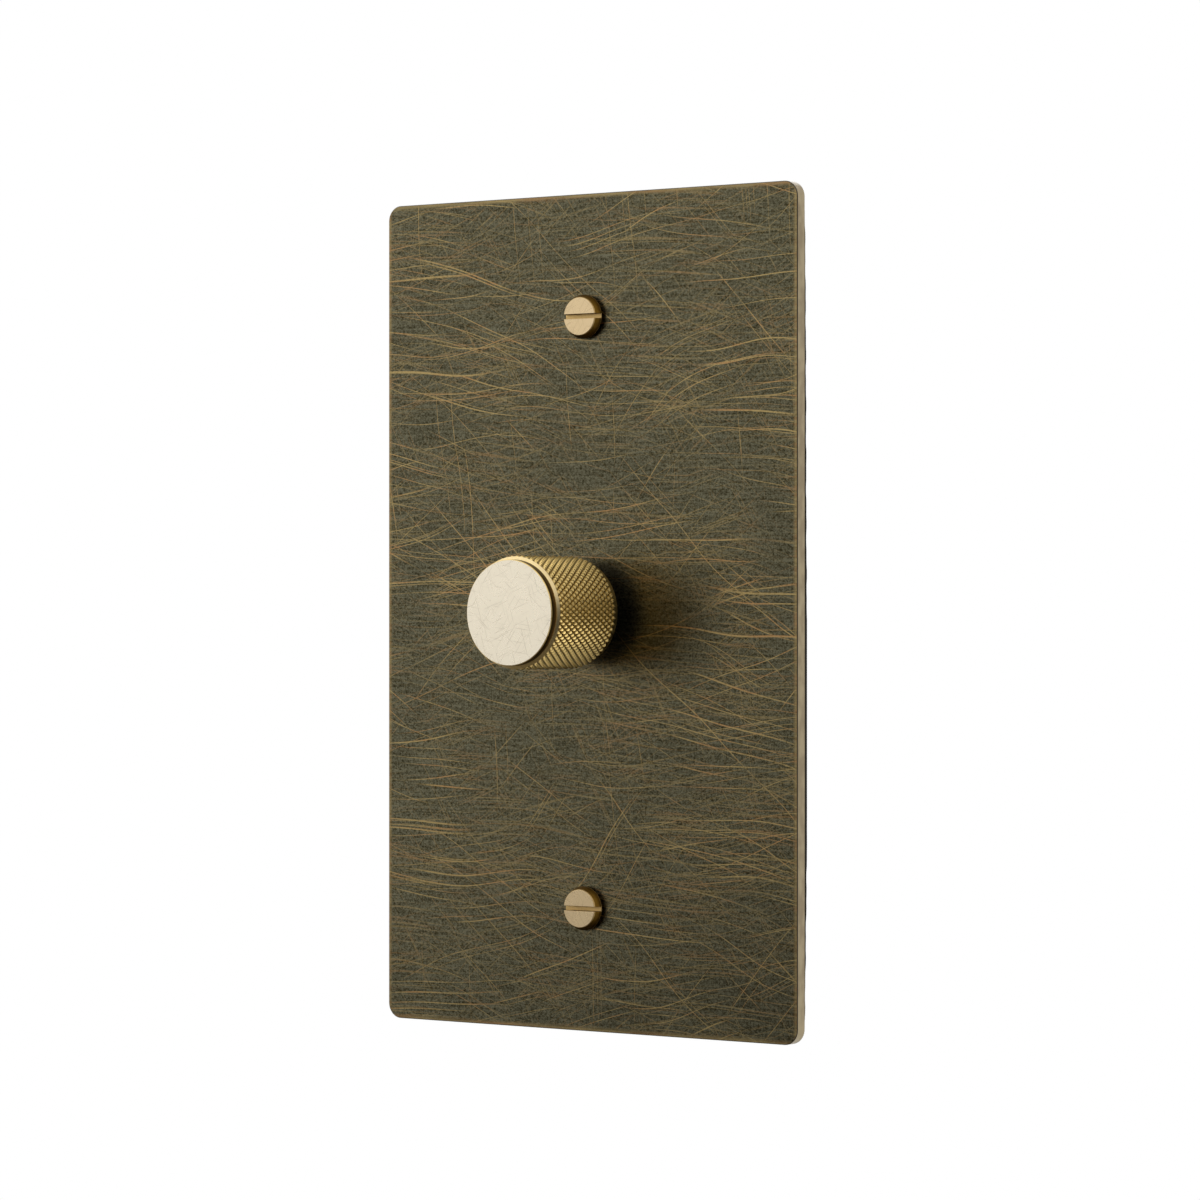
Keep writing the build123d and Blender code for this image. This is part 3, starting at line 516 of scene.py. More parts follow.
@dataclass(frozen=True)
class TurnedBrass(Finish):
    """Turned brass with hair scratches and small specks, a paler face that is a painted highlight, painted
    shade on the wall behind the face, and painted highlight and shade on a knurl.
    """

    # The face's paler tint is a painted highlight; the body's tint is the brass.
    face: Colour
    body: Colour
    # Dark tint of the wall behind the face: painted shade.
    wall: Colour
    face_depth: float
    wall_depth: float
    axis_height: float
    # A step at this depth behind the face takes a share of the face's painted highlight.
    step_depth: float = 1.0
    step_reach: float = 0.0
    step_highlight_share: float = 0.0
    peak_radius: float = 0.0
    valley_depth: float = 0.36
    hair: float = 0.26
    roughness: float = 0.27
    body_roughness: float = 0.27
    mark: Colour = tint(96, 78, 48)
    hair_turns: tuple[float, ...] = (8.0, 41.0, 73.0, -22.0, -55.0)
    hair_length: float = 4.6
    hair_width: float = 0.10
    hair_rarity: float = 0.745
    hair_swing: float = 2.0
    speck_scale: float = 2.6
    speck_edge: Pair = (0.72, 0.8)
    cloud_scale: float = 0.5
    cloud_tone: Pair = (0.92, 1.07)
    cloud_gloss: Pair = (-0.06, 0.08)
    ring_scale: float = 9.0
    ring_share: float = 0.4
    face_edge: float = 0.02
    # Where the painted shade on the wall starts behind the face, and how far before wall_depth it fades
    # out.
    wall_shade_start: Pair = (0.12, 0.2)
    wall_shade_fade: float = 0.04
    knurl_start: Pair = (0.22, 0.3)
    # Tones of the painted highlight on the knurl's crests and the painted shade in its valleys.
    knurl_highlight_and_shade: Pair = (1.19, 0.49)
    relief: float = 0.002

    def hairs(self, graph: Graph, sheet: Socket) -> Socket:
        """Draw fine hair scratches that run several ways.

        Args:
            graph: the material's nodes.
            sheet: the point on the face, in millimetres.

        Returns:
            The socket that is 1 on a hair and 0 off it.
        """
        first_seed, seed_step = 3.1, 4.7
        total: Level = 0.0
        for number, turn in enumerate(self.hair_turns):
            family = Scratches(
                turn=turn,
                length=self.hair_length,
                width=self.hair_width,
                rarity=self.hair_rarity,
                swing=self.hair_swing,
                seed=first_seed + seed_step * number,
            )
            total = graph.math("MAXIMUM", total, family.mask(graph, sheet))
        return total

    def metal(self, graph: Graph, behind: Socket, radius: Socket, on_face: Socket) -> Socket:
        """Colour the face with its painted highlight, the wall behind its rim with painted shade, the body,
        and a knurl with painted highlight on its crests and painted shade in its valleys.

        Args:
            graph: the material's nodes.
            behind: how far behind the face the painted point lies.
            radius: its distance from the axis.
            on_face: how much of the face's paler colour, a painted highlight, it takes.

        Returns:
            The socket with the clean metal's colour.
        """
        # Painted shade on the wall behind the face, from its start until it fades out at wall_depth.
        near_wall = graph.rise(behind, self.wall_depth, self.wall_depth - self.wall_shade_fade)
        wall_shade_share = graph.math("MULTIPLY", graph.rise(behind, *self.wall_shade_start), near_wall)
        colour = graph.mix(wall_shade_share, graph.mix(on_face, self.body, self.face), self.wall)
        if self.peak_radius > 0.0:
            # Painted highlight on the knurl's crests and painted shade in its valleys.
            valley_shade_share = graph.rise(radius, self.peak_radius, self.peak_radius - self.valley_depth)
            knurled = graph.rise(behind, *(self.wall_depth + start for start in self.knurl_start))
            colour = graph.mix(knurled, colour, graph.shade(colour, graph.span(valley_shade_share, *self.knurl_highlight_and_shade)))
        return colour

    def paint(self, graph: Graph, shader: bpy.types.Node) -> None:
        """Link the face and body colours with their painted highlight and shade, the scratches and the
        turning marks.
        """
        x, y, z = graph.axes(graph.millimetres())
        height = z
        if self.axis_height > 0.0:
            height = graph.math("SUBTRACT", graph.math("ABSOLUTE", z), self.axis_height)
        sheet = graph.point(x, height, 0.0)
        hairs = self.hairs(graph, sheet)
        specks = graph.rise(graph.noise(sheet, self.speck_scale, 1.0), *self.speck_edge)
        cloud = graph.noise(sheet, self.cloud_scale, 4.0, 0.6)
        square = graph.math("ADD", graph.math("MULTIPLY", x, x), graph.math("MULTIPLY", height, height))
        radius = graph.math("SQRT", square)
        rings = graph.noise(graph.point(radius, 0.0, 0.0), self.ring_scale, 1.0)
        behind = graph.math("SUBTRACT", y, self.face_depth)
        on_step = graph.math("COMPARE", behind, self.step_depth, self.step_reach)
        # The face takes its paler colour, a painted highlight, and the step a share of it.
        on_face = graph.rise(y, self.face_depth + self.face_edge, self.face_depth)
        on_face = graph.math("MAXIMUM", on_face, graph.math("MULTIPLY", on_step, self.step_highlight_share))
        clean = self.metal(graph, behind, radius, on_face)
        colour = graph.shade(clean, graph.span(cloud, *self.cloud_tone))
        marks = graph.math("MAXIMUM", hairs, specks)
        marks = graph.math("MULTIPLY", marks, graph.span(cloud, 0.0, 2.0 * self.hair))
        graph.feed(shader.inputs["Base Color"], graph.mix(marks, colour, self.mark))
        shader.inputs["Metallic"].default_value = 1.0
        gloss = graph.span(on_face, self.body_roughness, self.roughness)
        gloss = graph.math("ADD", gloss, graph.span(cloud, *self.cloud_gloss))
        graph.feed(shader.inputs["Roughness"], gloss)
        relief = graph.math("SUBTRACT", graph.math("MULTIPLY", rings, self.ring_share), hairs)
        graph.feed(shader.inputs["Normal"], graph.bump(relief, self.relief))


class Brush(Enum):
    """Which way the marks on a sheet or drawn metal run."""

    UPRIGHT = (2.4, 2.4, 0.12)
    ACROSS = (0.12, 2.4, 2.4)
    DEEP = (2.4, 0.12, 2.4)
    NONE = (1.2, 1.2, 1.2)


@dataclass(frozen=True)
class DrawnMetal(Finish):
    """Plain metal with brush marks, a cloudy coat and small stains."""

    colour: Colour
    stain: Colour
    roughness: float = 0.32
    brush: Brush = Brush.NONE
    stain_edge: Pair = (0.42, 0.72)
    mark_tone: Pair = (0.8, 1.18)
    mark_gloss: Pair = (-0.1, 0.14)
    relief: float = 0.004

    def paint(self, graph: Graph, shader: bpy.types.Node) -> None:
        """Link the clouded colour, the brushed gloss and the marks."""
        place = graph.millimetres()
        marks = graph.noise(graph.stretch(place, *self.brush.value), 1.0, 3.0, 0.6)
        cloud = graph.noise(place, 0.35, 4.0, 0.6)
        colour = graph.mix(graph.rise(cloud, *self.stain_edge), self.colour, self.stain)
        graph.feed(shader.inputs["Base Color"], graph.shade(colour, graph.span(marks, *self.mark_tone)))
        shader.inputs["Metallic"].default_value = 1.0
        gloss = graph.span(marks, *(self.roughness + change for change in self.mark_gloss))
        graph.feed(shader.inputs["Roughness"], gloss)
        graph.feed(shader.inputs["Normal"], graph.bump(marks, self.relief))


class Grain(Enum):
    """Surface of a moulded piece: grains for each millimetre and their depth."""

    SPARKED = (4.5, 0.02)
    SATIN = (7.0, 0.008)
    GLOSSY = (1.5, 0.004)


@dataclass(frozen=True)
class Moulded(Finish):
    """Moulded plastic with an eroded grain, slight flow marks and a dusty bloom."""

    colour: Colour
    bloom: Colour
    roughness: float = 0.5
    grain: Grain = Grain.SATIN
    flow_scale: tuple[float, float, float] = (0.10, 0.25, 0.06)
    bloom_edge: Pair = (0.35, 0.75)
    grain_tone: Pair = (0.88, 1.1)
    grain_gloss: Pair = (-0.1, 0.1)

    def paint(self, graph: Graph, shader: bpy.types.Node) -> None:
        """Link the bloomed colour, the uneven gloss and the grain."""
        place = graph.millimetres()
        scale, depth = self.grain.value
        grains = graph.noise(place, scale, 2.0, 0.6)
        flow = graph.noise(graph.stretch(place, *self.flow_scale), 1.0, 3.0)
        colour = graph.mix(graph.rise(flow, *self.bloom_edge), self.colour, self.bloom)
        graph.feed(shader.inputs["Base Color"], graph.shade(colour, graph.span(grains, *self.grain_tone)))
        gloss = graph.span(grains, *(self.roughness + change for change in self.grain_gloss))
        graph.feed(shader.inputs["Roughness"], gloss)
        graph.feed(shader.inputs["Normal"], graph.bump(grains, depth))


@dataclass(frozen=True)
class CellRubber(Finish):
    """Dark cellular rubber with open pores on its cut faces."""

    colour: Colour
    pore: Colour
    roughness: float = 0.82
    specular: float = 0.15
    cell_scale: float = 2.6
    pore_edge: Pair = (0.36, 0.12)
    cloud_tone: Pair = (0.75, 1.25)
    relief: float = 0.05

    def paint(self, graph: Graph, shader: bpy.types.Node) -> None:
        """Link the pores to colour and relief."""
        place = graph.millimetres()
        cells = graph.add("ShaderNodeTexVoronoi", feature="F1")
        graph.feed(cells.inputs["Vector"], place)
        cells.inputs["Scale"].default_value = self.cell_scale
        pores = graph.rise(cells.outputs["Distance"], *self.pore_edge)
        tone = graph.span(graph.noise(place, 0.3, 3.0), *self.cloud_tone)
        colour = graph.shade(graph.mix(pores, self.colour, self.pore), tone)
        graph.feed(shader.inputs["Base Color"], colour)
        shader.inputs["Roughness"].default_value = self.roughness
        shader.inputs["Specular IOR Level"].default_value = self.specular
        graph.feed(shader.inputs["Normal"], graph.bump(graph.math("SUBTRACT", 1.0, pores), self.relief))


@dataclass(frozen=True)
class Laminate(Finish):
    """Glass laminate board with a woven grain, lacquer and paler tracks under it."""

    colour: Colour
    track: Colour
    weave_rate: float = 9.0
    weave_tone: Pair = (1.0, 1.08)
    track_scale: float = 0.32
    track_wander: float = 0.55
    track_edge: Pair = (0.10, 0.13)
    track_gloss: Pair = (0.42, 0.3)
    relief: float = 0.01

    def paint(self, graph: Graph, shader: bpy.types.Node) -> None:
        """Link the weave, the tracks and the lacquer."""
        place = graph.millimetres()
        x, _, z = graph.axes(place)
        threads = [graph.math("SINE", graph.math("MULTIPLY", way, self.weave_rate)) for way in (x, z)]
        weave = graph.math("MULTIPLY", *threads)
        steps = graph.add("ShaderNodeTexVoronoi", distance="CHEBYCHEV", feature="DISTANCE_TO_EDGE")
        graph.feed(steps.inputs["Vector"], place)
        steps.inputs["Scale"].default_value = self.track_scale
        steps.inputs["Randomness"].default_value = self.track_wander
        tracks = graph.rise(steps.outputs["Distance"], *self.track_edge)
        colour = graph.mix(tracks, self.colour, self.track)
        graph.feed(shader.inputs["Base Color"], graph.shade(colour, graph.span(weave, *self.weave_tone)))
        graph.feed(shader.inputs["Roughness"], graph.span(tracks, *self.track_gloss))
        graph.feed(shader.inputs["Normal"], graph.bump(graph.math("ADD", tracks, weave), self.relief))


SILVER_STEEL = DrawnMetal("plated_steel", tint(196, 198, 200), tint(168, 169, 168), 0.28, Brush.DEEP)
STRAP_STEEL = DrawnMetal("strap_steel", tint(186, 188, 188), tint(150, 153, 156), 0.36, Brush.UPRIGHT)
GREEN_STEEL = DrawnMetal("earth_green", tint(46, 122, 70), tint(34, 96, 56), 0.34, Brush.NONE)
NICKEL = DrawnMetal("bush_nickel", tint(205, 199, 186), tint(180, 174, 160), 0.24, Brush.DEEP)
CONTACT_BRONZE = DrawnMetal("contact_bronze", tint(203, 150, 104), tint(172, 118, 78), 0.3, Brush.ACROSS)
TERMINAL_BRASS = DrawnMetal("terminal_brass", tint(212, 182, 118), tint(180, 146, 88), 0.3, Brush.NONE)
SINK_ALUMINIUM = DrawnMetal("sink_aluminium", tint(206, 208, 210), tint(186, 188, 191), 0.34, Brush.ACROSS)
COPPER_WIRE = DrawnMetal("winding_copper", tint(188, 104, 62), tint(150, 74, 44), 0.28, Brush.NONE)
CASE_BLACK = Moulded("case_black", tint(38, 38, 40), tint(52, 52, 54), 0.55, Grain.SPARKED)
CONTROL_GREY = Moulded("control_grey", tint(120, 122, 126), tint(134, 136, 139), 0.5, Grain.SATIN)
CONTROL_WHITE = Moulded("control_white", tint(226, 222, 212), tint(214, 208, 196), 0.45, Grain.SATIN)
INSERT_NYLON = Moulded("insert_nylon", tint(70, 68, 64), tint(86, 83, 78), 0.5, Grain.SATIN)
WAFER_BROWN = Moulded("wafer_brown", tint(122, 84, 52), tint(140, 100, 64), 0.5, Grain.SATIN)
TERMINAL_GREY = Moulded("terminal_grey", tint(92, 96, 100), tint(106, 110, 114), 0.52, Grain.SPARKED)
PACKAGE_BLACK = Moulded("package_black", tint(30, 30, 32), tint(44, 44, 46), 0.6, Grain.SPARKED)
FILM_YELLOW = Moulded("film_yellow", tint(222, 176, 58), tint(206, 158, 48), 0.3, Grain.GLOSSY)
CAN_SLEEVE = Moulded("can_sleeve", tint(36, 40, 62), tint(50, 54, 76), 0.32, Grain.GLOSSY)
FERRITE = Moulded("choke_ferrite", tint(58, 56, 56), tint(74, 71, 70), 0.62, Grain.SPARKED)
# The gasket's dark rubber, as dark as the painted shadow strip that its rim stands for.
GASKET_RUBBER_AND_SHADOW = CellRubber("gasket_rubber", tint(31, 27, 20), tint(17, 14, 10))
BOARD_GREEN = Laminate("board_green", tint(28, 88, 58), tint(58, 128, 84))


def dress(finish: Finish, *nodes: str) -> None:
    """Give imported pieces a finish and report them.

    Args:
        finish: the finish that they take.
        nodes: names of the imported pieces.
    """
    for node in nodes:
        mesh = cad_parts[node].data
        mesh.materials.clear()
        mesh.materials.append(material_of(finish))
        log.info("%s: %s", node, finish.name)


def add_piece(name: str, mesh: bpy.types.Mesh, finish: Finish, body: str) -> bpy.types.Object:
    """Link a mesh as a piece that rides a body.

    Args:
        name: the piece's name.
        mesh: its mesh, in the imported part's frame.
        finish: its finish.
        body: the body that carries it.

    Returns:
        The new piece.
    """
    piece = bpy.data.objects.new(name, mesh)
    bpy.context.scene.collection.objects.link(piece)
    mesh.materials.clear()
    mesh.materials.append(material_of(finish))
    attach(piece, body)
    log.info("%s: %d faces, rides %s", name, len(mesh.polygons), body)
    return piece


def solid_of(node: str) -> bmesh.types.BMesh:
    """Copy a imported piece's solid with its corners welded and its flat faces whole.

    Args:
        node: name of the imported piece.

    Returns:
        The copy, ready to be changed.
    """
    weld = 0.0005 * MM
    flat = math.radians(0.3)
    solid = bmesh.new()
    solid.from_mesh(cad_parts[node].data)
    bmesh.ops.remove_doubles(solid, verts=solid.verts, dist=weld)
    bmesh.ops.dissolve_limit(solid, angle_limit=flat, verts=solid.verts, edges=solid.edges)
    return solid


def mesh_from(solid: bmesh.types.BMesh, name: str, crease: float = CREASE) -> bpy.types.Mesh:
    """Turn a solid into a mesh that is smooth between its creases.

    Args:
        solid: the solid, which is used up.
        name: the mesh's name.
        crease: angle in degrees above which an edge stays sharp.

    Returns:
        The mesh.
    """
    bmesh.ops.recalc_face_normals(solid, faces=solid.faces)
    mesh = bpy.data.meshes.new(name)
    solid.to_mesh(mesh)
    solid.free()
    for layer in ("custom_normal", "sharp_face"):
        if layer in mesh.attributes:
            mesh.attributes.remove(mesh.attributes[layer])
    mesh.shade_smooth()
    mesh.set_sharp_from_angle(angle=math.radians(crease))
    return mesh


def reach_of(vert: bmesh.types.BMVert) -> float:
    """Distance of a corner from the knob's axis, in metres."""
    return math.hypot(vert.co.x, vert.co.z)


def round_edges(piece: bpy.types.Object, width: float, angle: float = CREASE, marked: bool = False) -> None:
    """Round a piece's sharp edges a little, as tumbling or moulding leaves them.

    Args:
        piece: the piece.
        width: width of the rounding.
        angle: smallest angle in degrees between faces that gets rounded.
        marked: whether only the edges with a bevel weight are rounded.
    """
    bevel = piece.modifiers.new("rounded_edges", "BEVEL")
    bevel.width = width * MM
    bevel.segments = 2
    bevel.limit_method = "WEIGHT" if marked else "ANGLE"
    bevel.angle_limit = math.radians(angle)
    bevel.harden_normals = True


def round_bar(solid: bmesh.types.BMesh, rings: Sequence[Sequence[Vector]]) -> None:
    """Skin a row of rings into a solid, with a face on each end.

    Args:
        solid: the solid that takes the faces.
        rings: rings of points, each with as many points as the others.
    """
    rows = [[solid.verts.new(point) for point in ring] for ring in rings]
    count = len(rows[0])
    for lower, upper in zip(rows, rows[1:]):
        for step in range(count):
            after = (step + 1) % count
            solid.faces.new((lower[step], lower[after], upper[after], upper[step]))
    solid.faces.new(rows[0])
    solid.faces.new(rows[-1])


def wire_rings(path: Sequence[Vector], radius: float, sides: int = 10) -> list[list[Vector]]:
    """Rings of a round wire along a path that winds about the Y axis.

    Args:
        path: points along the wire's middle, in metres.
        radius: radius of the wire, in metres.
        sides: points in each ring.

    Returns:
        One ring for each point of the path.
    """
    turns = [2 * math.pi * step / sides for step in range(sides)]
    rings = []
    for number, point in enumerate(path):
        before = path[max(number - 1, 0)]
        after = path[min(number + 1, len(path) - 1)]
        along = (after - before).normalized()
        outward = Vector((point.x, 0.0, point.z)).normalized()
        side = along.cross(outward).normalized()
        outward = side.cross(along)
        spokes = [math.cos(turn) * outward + math.sin(turn) * side for turn in turns]
        rings.append([point + radius * spoke for spoke in spokes])
    return rings


def wound_wire(radius: float, wire: float, turns: float, depths: Sequence[float]) -> bmesh.types.BMesh:
    """Wind a round wire about the Y axis.

    Args:
        radius: radius of the winding's middle line, in metres.
        wire: radius of the wire, in metres.
        turns: how many times it goes round.
        depths: depth of each step along the wire, in metres.

    Returns:
        The wound wire as a solid.
    """
    path = []
    for step, depth in enumerate(depths):
        turn = 2 * math.pi * turns * step / (len(depths) - 1)
        path.append(Vector((radius * math.cos(turn), depth, radius * math.sin(turn))))
    coil = bmesh.new()
    round_bar(coil, wire_rings(path, wire))
    return coil


@dataclass
class WallPlate:
    """Face plate and the gasket between it and the wall, whose wavering dark rim is a painted shadow strip.
    """

    # The gasket's cut-in, wavering edge shapes its dark rim as a painted shadow strip along the plate's
    # edge.
    gasket_step: float = 1.0
    gasket_trim: float = 0.14
    shadow_rim_bulge: float = 0.24
    gasket_taper: float = 0.28
    taper_reach: float = 58.0
    taper_power: int = 4
    shadow_rim_bulge_height: float = -18.0
    shadow_rim_bulge_spread: float = 22.0
    # Size, rate and phase of each wave in the cut that shapes the painted shadow strip.
    shadow_rim_wavers: tuple[tuple[float, float, float], ...] = ((0.03, 0.83, 0.0), (0.025, 1.9, 1.0))

    def build(self) -> None:
        """Dress the plate and cut the gasket."""
        low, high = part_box("face_plate")
        plate = PatinaBronze("plate_bronze", high.x / MM, high.z / MM, low.y / MM)
        dress(plate, "face_plate")
        self.cut_gasket()

    def shadow_rim_trim(self, place: float) -> float:
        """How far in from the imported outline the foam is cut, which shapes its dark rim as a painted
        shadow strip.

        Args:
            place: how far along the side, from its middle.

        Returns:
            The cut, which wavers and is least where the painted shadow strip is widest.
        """
        bulge = self.shadow_rim_bulge * math.exp(-(((place - self.shadow_rim_bulge_height) / self.shadow_rim_bulge_spread) ** 2))
        taper = self.gasket_taper * (place / self.taper_reach) ** self.taper_power
        waver = sum(size * math.sin(rate * place + phase) for size, rate, phase in self.shadow_rim_wavers)
        return max(0.0, self.gasket_trim + taper - bulge + waver)

    def cut_gasket(self) -> None:
        """Cut the gasket's edge to waver, so that its dark rim stands as a painted shadow strip along the
        plate's edge.
        """
        _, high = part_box("wall_gasket")
        near = 0.01 * MM
        foam = solid_of("wall_gasket")
        ends = [abs(vert.co.x) for vert in foam.verts if abs(vert.co.z) > high.z - near]
        corner = high.x - max(ends)
        sides = [edge for edge in foam.edges if self.is_side(edge, high, near)]
        cuts = round(2 * high.z / (self.gasket_step * MM))
        bmesh.ops.subdivide_edges(foam, edges=sides, cuts=cuts)
        for vert in foam.verts:
            place = vert.co.copy()
            for axis, along in ((0, 2), (2, 0)):
                share = max(0.0, (abs(place[axis]) - high[axis] + corner) / corner)
                cut = share * self.shadow_rim_trim(place[along] / MM) * MM
                vert.co[axis] -= math.copysign(cut, place[axis])
        mesh = mesh_from(foam, "foam_gasket_with_shadow_rim")
        gasket = add_piece("foam_gasket_with_shadow_rim", mesh, GASKET_RUBBER_AND_SHADOW, "switch_base")
        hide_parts("wall_gasket")

    def is_side(self, edge: bmesh.types.BMEdge, high: Vector, near: float) -> bool:
        """Whether an edge is one of the long ones round the gasket.

        Args:
            edge: the edge.
            high: the gasket's far corner, in metres.
            near: how close to the outline counts as on it, in metres.

        Returns:
            True for a long edge on the outline.
        """
        on_side = all(abs(vert.co.x) > high.x - near for vert in edge.verts)
        on_end = all(abs(vert.co.z) > high.z - near for vert in edge.verts)
        return (on_side or on_end) and edge.calc_length() > high.x


@dataclass
class FixingScrews:
    """Two slotted brass screws with cut threads."""

    thread_start: float = 1.0
    thread_pitch: float = 0.794
    thread_depth: float = 0.36
    thread_point: float = 0.6
    point_slope: float = 0.7
    crest_height: float = 1.35
    flank_slope: float = 3.1
    thread_sides: int = 36
    thread_steps: int = 8
    # The head's side and slot walls take painted shade down to this depth behind the face.
    wall_depth: float = 1.04
    head_round: float = 0.15
    head_angle: float = 50.0
    body_roughness: float = 0.42

    def thread_rings(self, height: float, radius: float, tip: float) -> list[list[Vector]]:
        """Rings of one threaded shank.

        Args:
            height: height of the screw's axis, in metres.
            radius: outer radius of the thread, in metres.
            tip: depth of the screw's end, in metres.

        Returns:
            The rings from the neck to the tip.
        """
        start = self.thread_start * MM
        pitch = self.thread_pitch * MM
        deep = self.thread_depth * MM
        point = self.thread_point * MM
        rows = round((tip - start) / pitch * self.thread_steps)
        rings = []
        for row in range(rows + 1):
            depth = start + (tip - start) * row / rows
            fade = min(1.0, (depth - start) / pitch)
            most = radius - max(0.0, point - (tip - depth)) * self.point_slope
            ring = []
            for side in range(self.thread_sides):
                turn = 2 * math.pi * side / self.thread_sides
                phase = (depth / pitch + side / self.thread_sides) % 1.0
                flank = self.crest_height - self.flank_slope * abs(phase - 0.5)
                crest = min(1.0, max(0.0, flank))
                reach = min(most, radius - deep + deep * crest * fade)
                ring.append(Vector((reach * math.cos(turn), depth, height + reach * math.sin(turn))))
            rings.append(ring)
        return rings

    def build(self) -> None:
        """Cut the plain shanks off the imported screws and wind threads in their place."""
        low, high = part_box("fixing_screws")
        head_radius = (high.x - low.x) / 2
        axis_height = high.z - head_radius
        cad = solid_of("fixing_screws")
        start = self.thread_start * MM
        near = 0.001 * MM
        shank = [face for face in cad.faces if all(vert.co.y > start - near for vert in face.verts)]
        thread_radius = max(abs(vert.co.x) for face in shank for vert in face.verts)
        bmesh.ops.delete(cad, geom=shank, context="FACES")
        bmesh.ops.holes_fill(cad, edges=[edge for edge in cad.edges if edge.is_boundary])
        for height in (axis_height, -axis_height):
            round_bar(cad, self.thread_rings(height, thread_radius, high.y))
        brass = TurnedBrass(
            "screw_brass",
            # Paler face tint: a painted highlight.
            face=tint(200, 177, 138),
            body=tint(198, 166, 108),
            # Dark wall tint: painted shade on the head's side and slot walls.
            wall=tint(118, 87, 30),
            face_depth=low.y / MM,
            wall_depth=self.wall_depth,
            axis_height=axis_height / MM,
            body_roughness=self.body_roughness,
        )
        mesh = mesh_from(cad, "threaded_screws")
        screws = add_piece("threaded_screws", mesh, brass, "switch_base")
        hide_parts("fixing_screws")
        round_edges(screws, self.head_round, self.head_angle)


@dataclass
class Knob:
    """Turned knob with a diamond knurl, and the moulded insert that grips the shaft."""

    edge_round: float = 0.045
    # The disc's side wall takes painted shade down to this depth behind the face.
    wall_depth: float = 1.19
    # The collar's front, at this depth behind the face, takes a share of the face's painted highlight.
    collar_depth: float = 1.31
    collar_reach: float = 0.12
    collar_highlight_share: float = 0.3
    body_roughness: float = 0.34
    knurl_depth: float = 0.36
    crown: float = 1.7
    crown_cuts: int = 3

    def crown_knurl(self, solid: bmesh.types.BMesh, peak: float) -> None:
        """Swell the knurl's points into diamonds with round tops and narrow valleys.

        Args:
            solid: the knob's solid, which is changed.
            peak: outer radius of the knurl, in metres.
        """
        near = 0.02 * MM
        deep = self.knurl_depth * MM
        valley = peak - deep
        facets = [face for face in solid.faces if any(reach_of(vert) > peak - near for vert in face.verts)]
        front = min(vert.co.y for face in facets for vert in face.verts)
        rear = max(vert.co.y for face in facets for vert in face.verts)
        edges = list({edge for face in facets for edge in face.edges})
        bmesh.ops.subdivide_edges(solid, edges=edges, cuts=self.crown_cuts, use_grid_fill=True)
        for vert in solid.verts:
            reach = reach_of(vert)
            if front + near < vert.co.y < rear - near and reach > valley - near:
                share = min(1.0, max(0.0, (reach - valley) / deep))
                swell = (valley + deep * (1.0 - (1.0 - share) ** self.crown)) / reach
                vert.co.x *= swell
                vert.co.z *= swell
        weights = solid.edges.layers.float.new("bevel_weight_edge")
        for edge in solid.edges:
            plain = all(not front + near < vert.co.y < rear - near for vert in edge.verts)
            if plain and edge.is_manifold and edge.calc_face_angle() > math.radians(CREASE):
                edge[weights] = 1.0

    def build(self) -> None:
        """Crown the knurl, round the knob's edges and dress both pieces."""
        low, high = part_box("knob")
        brass = TurnedBrass(
            "knob_brass",
            # Paler face tint: a painted highlight.
            face=tint(227, 217, 196),
            body=tint(235, 205, 133),
            # Dark wall tint: painted shade on the disc's side wall.
            wall=tint(82, 61, 23),
            face_depth=low.y / MM,
            wall_depth=self.wall_depth,
            axis_height=0.0,
            step_depth=self.collar_depth,
            step_reach=self.collar_reach,
            step_highlight_share=self.collar_highlight_share,
            peak_radius=high.x / MM,
            valley_depth=self.knurl_depth,
            body_roughness=self.body_roughness,
        )
        solid = solid_of("knob")
        self.crown_knurl(solid, high.x)
        mesh = mesh_from(solid, "knurled_knob")
        knob = add_piece("knurled_knob", mesh, brass, "knob_shaft")
        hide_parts("knob")
        round_edges(knob, self.edge_round, marked=True)
        dress(INSERT_NYLON, "knob_insert")


@dataclass
class Strap:
    """Steel strap that carries the module, with the bush, its nut and the earth screw."""

    def build(self) -> None:
        """Dress the strap and what is fixed to it."""
        dress(STRAP_STEEL, "mounting_strap")
        dress(GREEN_STEEL, "earth_screw")
        dress(NICKEL, "bush", "bush_nut")
        dress(SILVER_STEEL, "lock_washer")


@dataclass
class ModuleCase:
    """Two moulded shells and the screws that hold them together."""

    def build(self) -> None:
        """Dress the shells and the screws."""
        dress(CASE_BLACK, "case_front", "case_rear")
        dress(SILVER_STEEL, "case_screws")


@dataclass
class Terminals:
    """Terminal block with two brass clamps and their screws."""

    def build(self) -> None:
        """Dress the block, the clamps and the screws."""
        dress(TERMINAL_GREY, "terminal_block")
        dress(TERMINAL_BRASS, "terminal_clamps")
        dress(SILVER_STEEL, "terminal_screws")


@dataclass
class RotaryControl:
    """Shaft, rotor and resistance track that the knob turns."""

    def build(self) -> None:
        """Dress the fixed and the turning pieces."""
        dress(SILVER_STEEL, "shaft", "retaining_clip", "control_pins")
        dress(CONTROL_GREY, "pot_housing")
        dress(CONTROL_WHITE, "rotor")
        dress(CONTACT_BRONZE, "wiper")
        dress(WAFER_BROWN, "track_wafer")


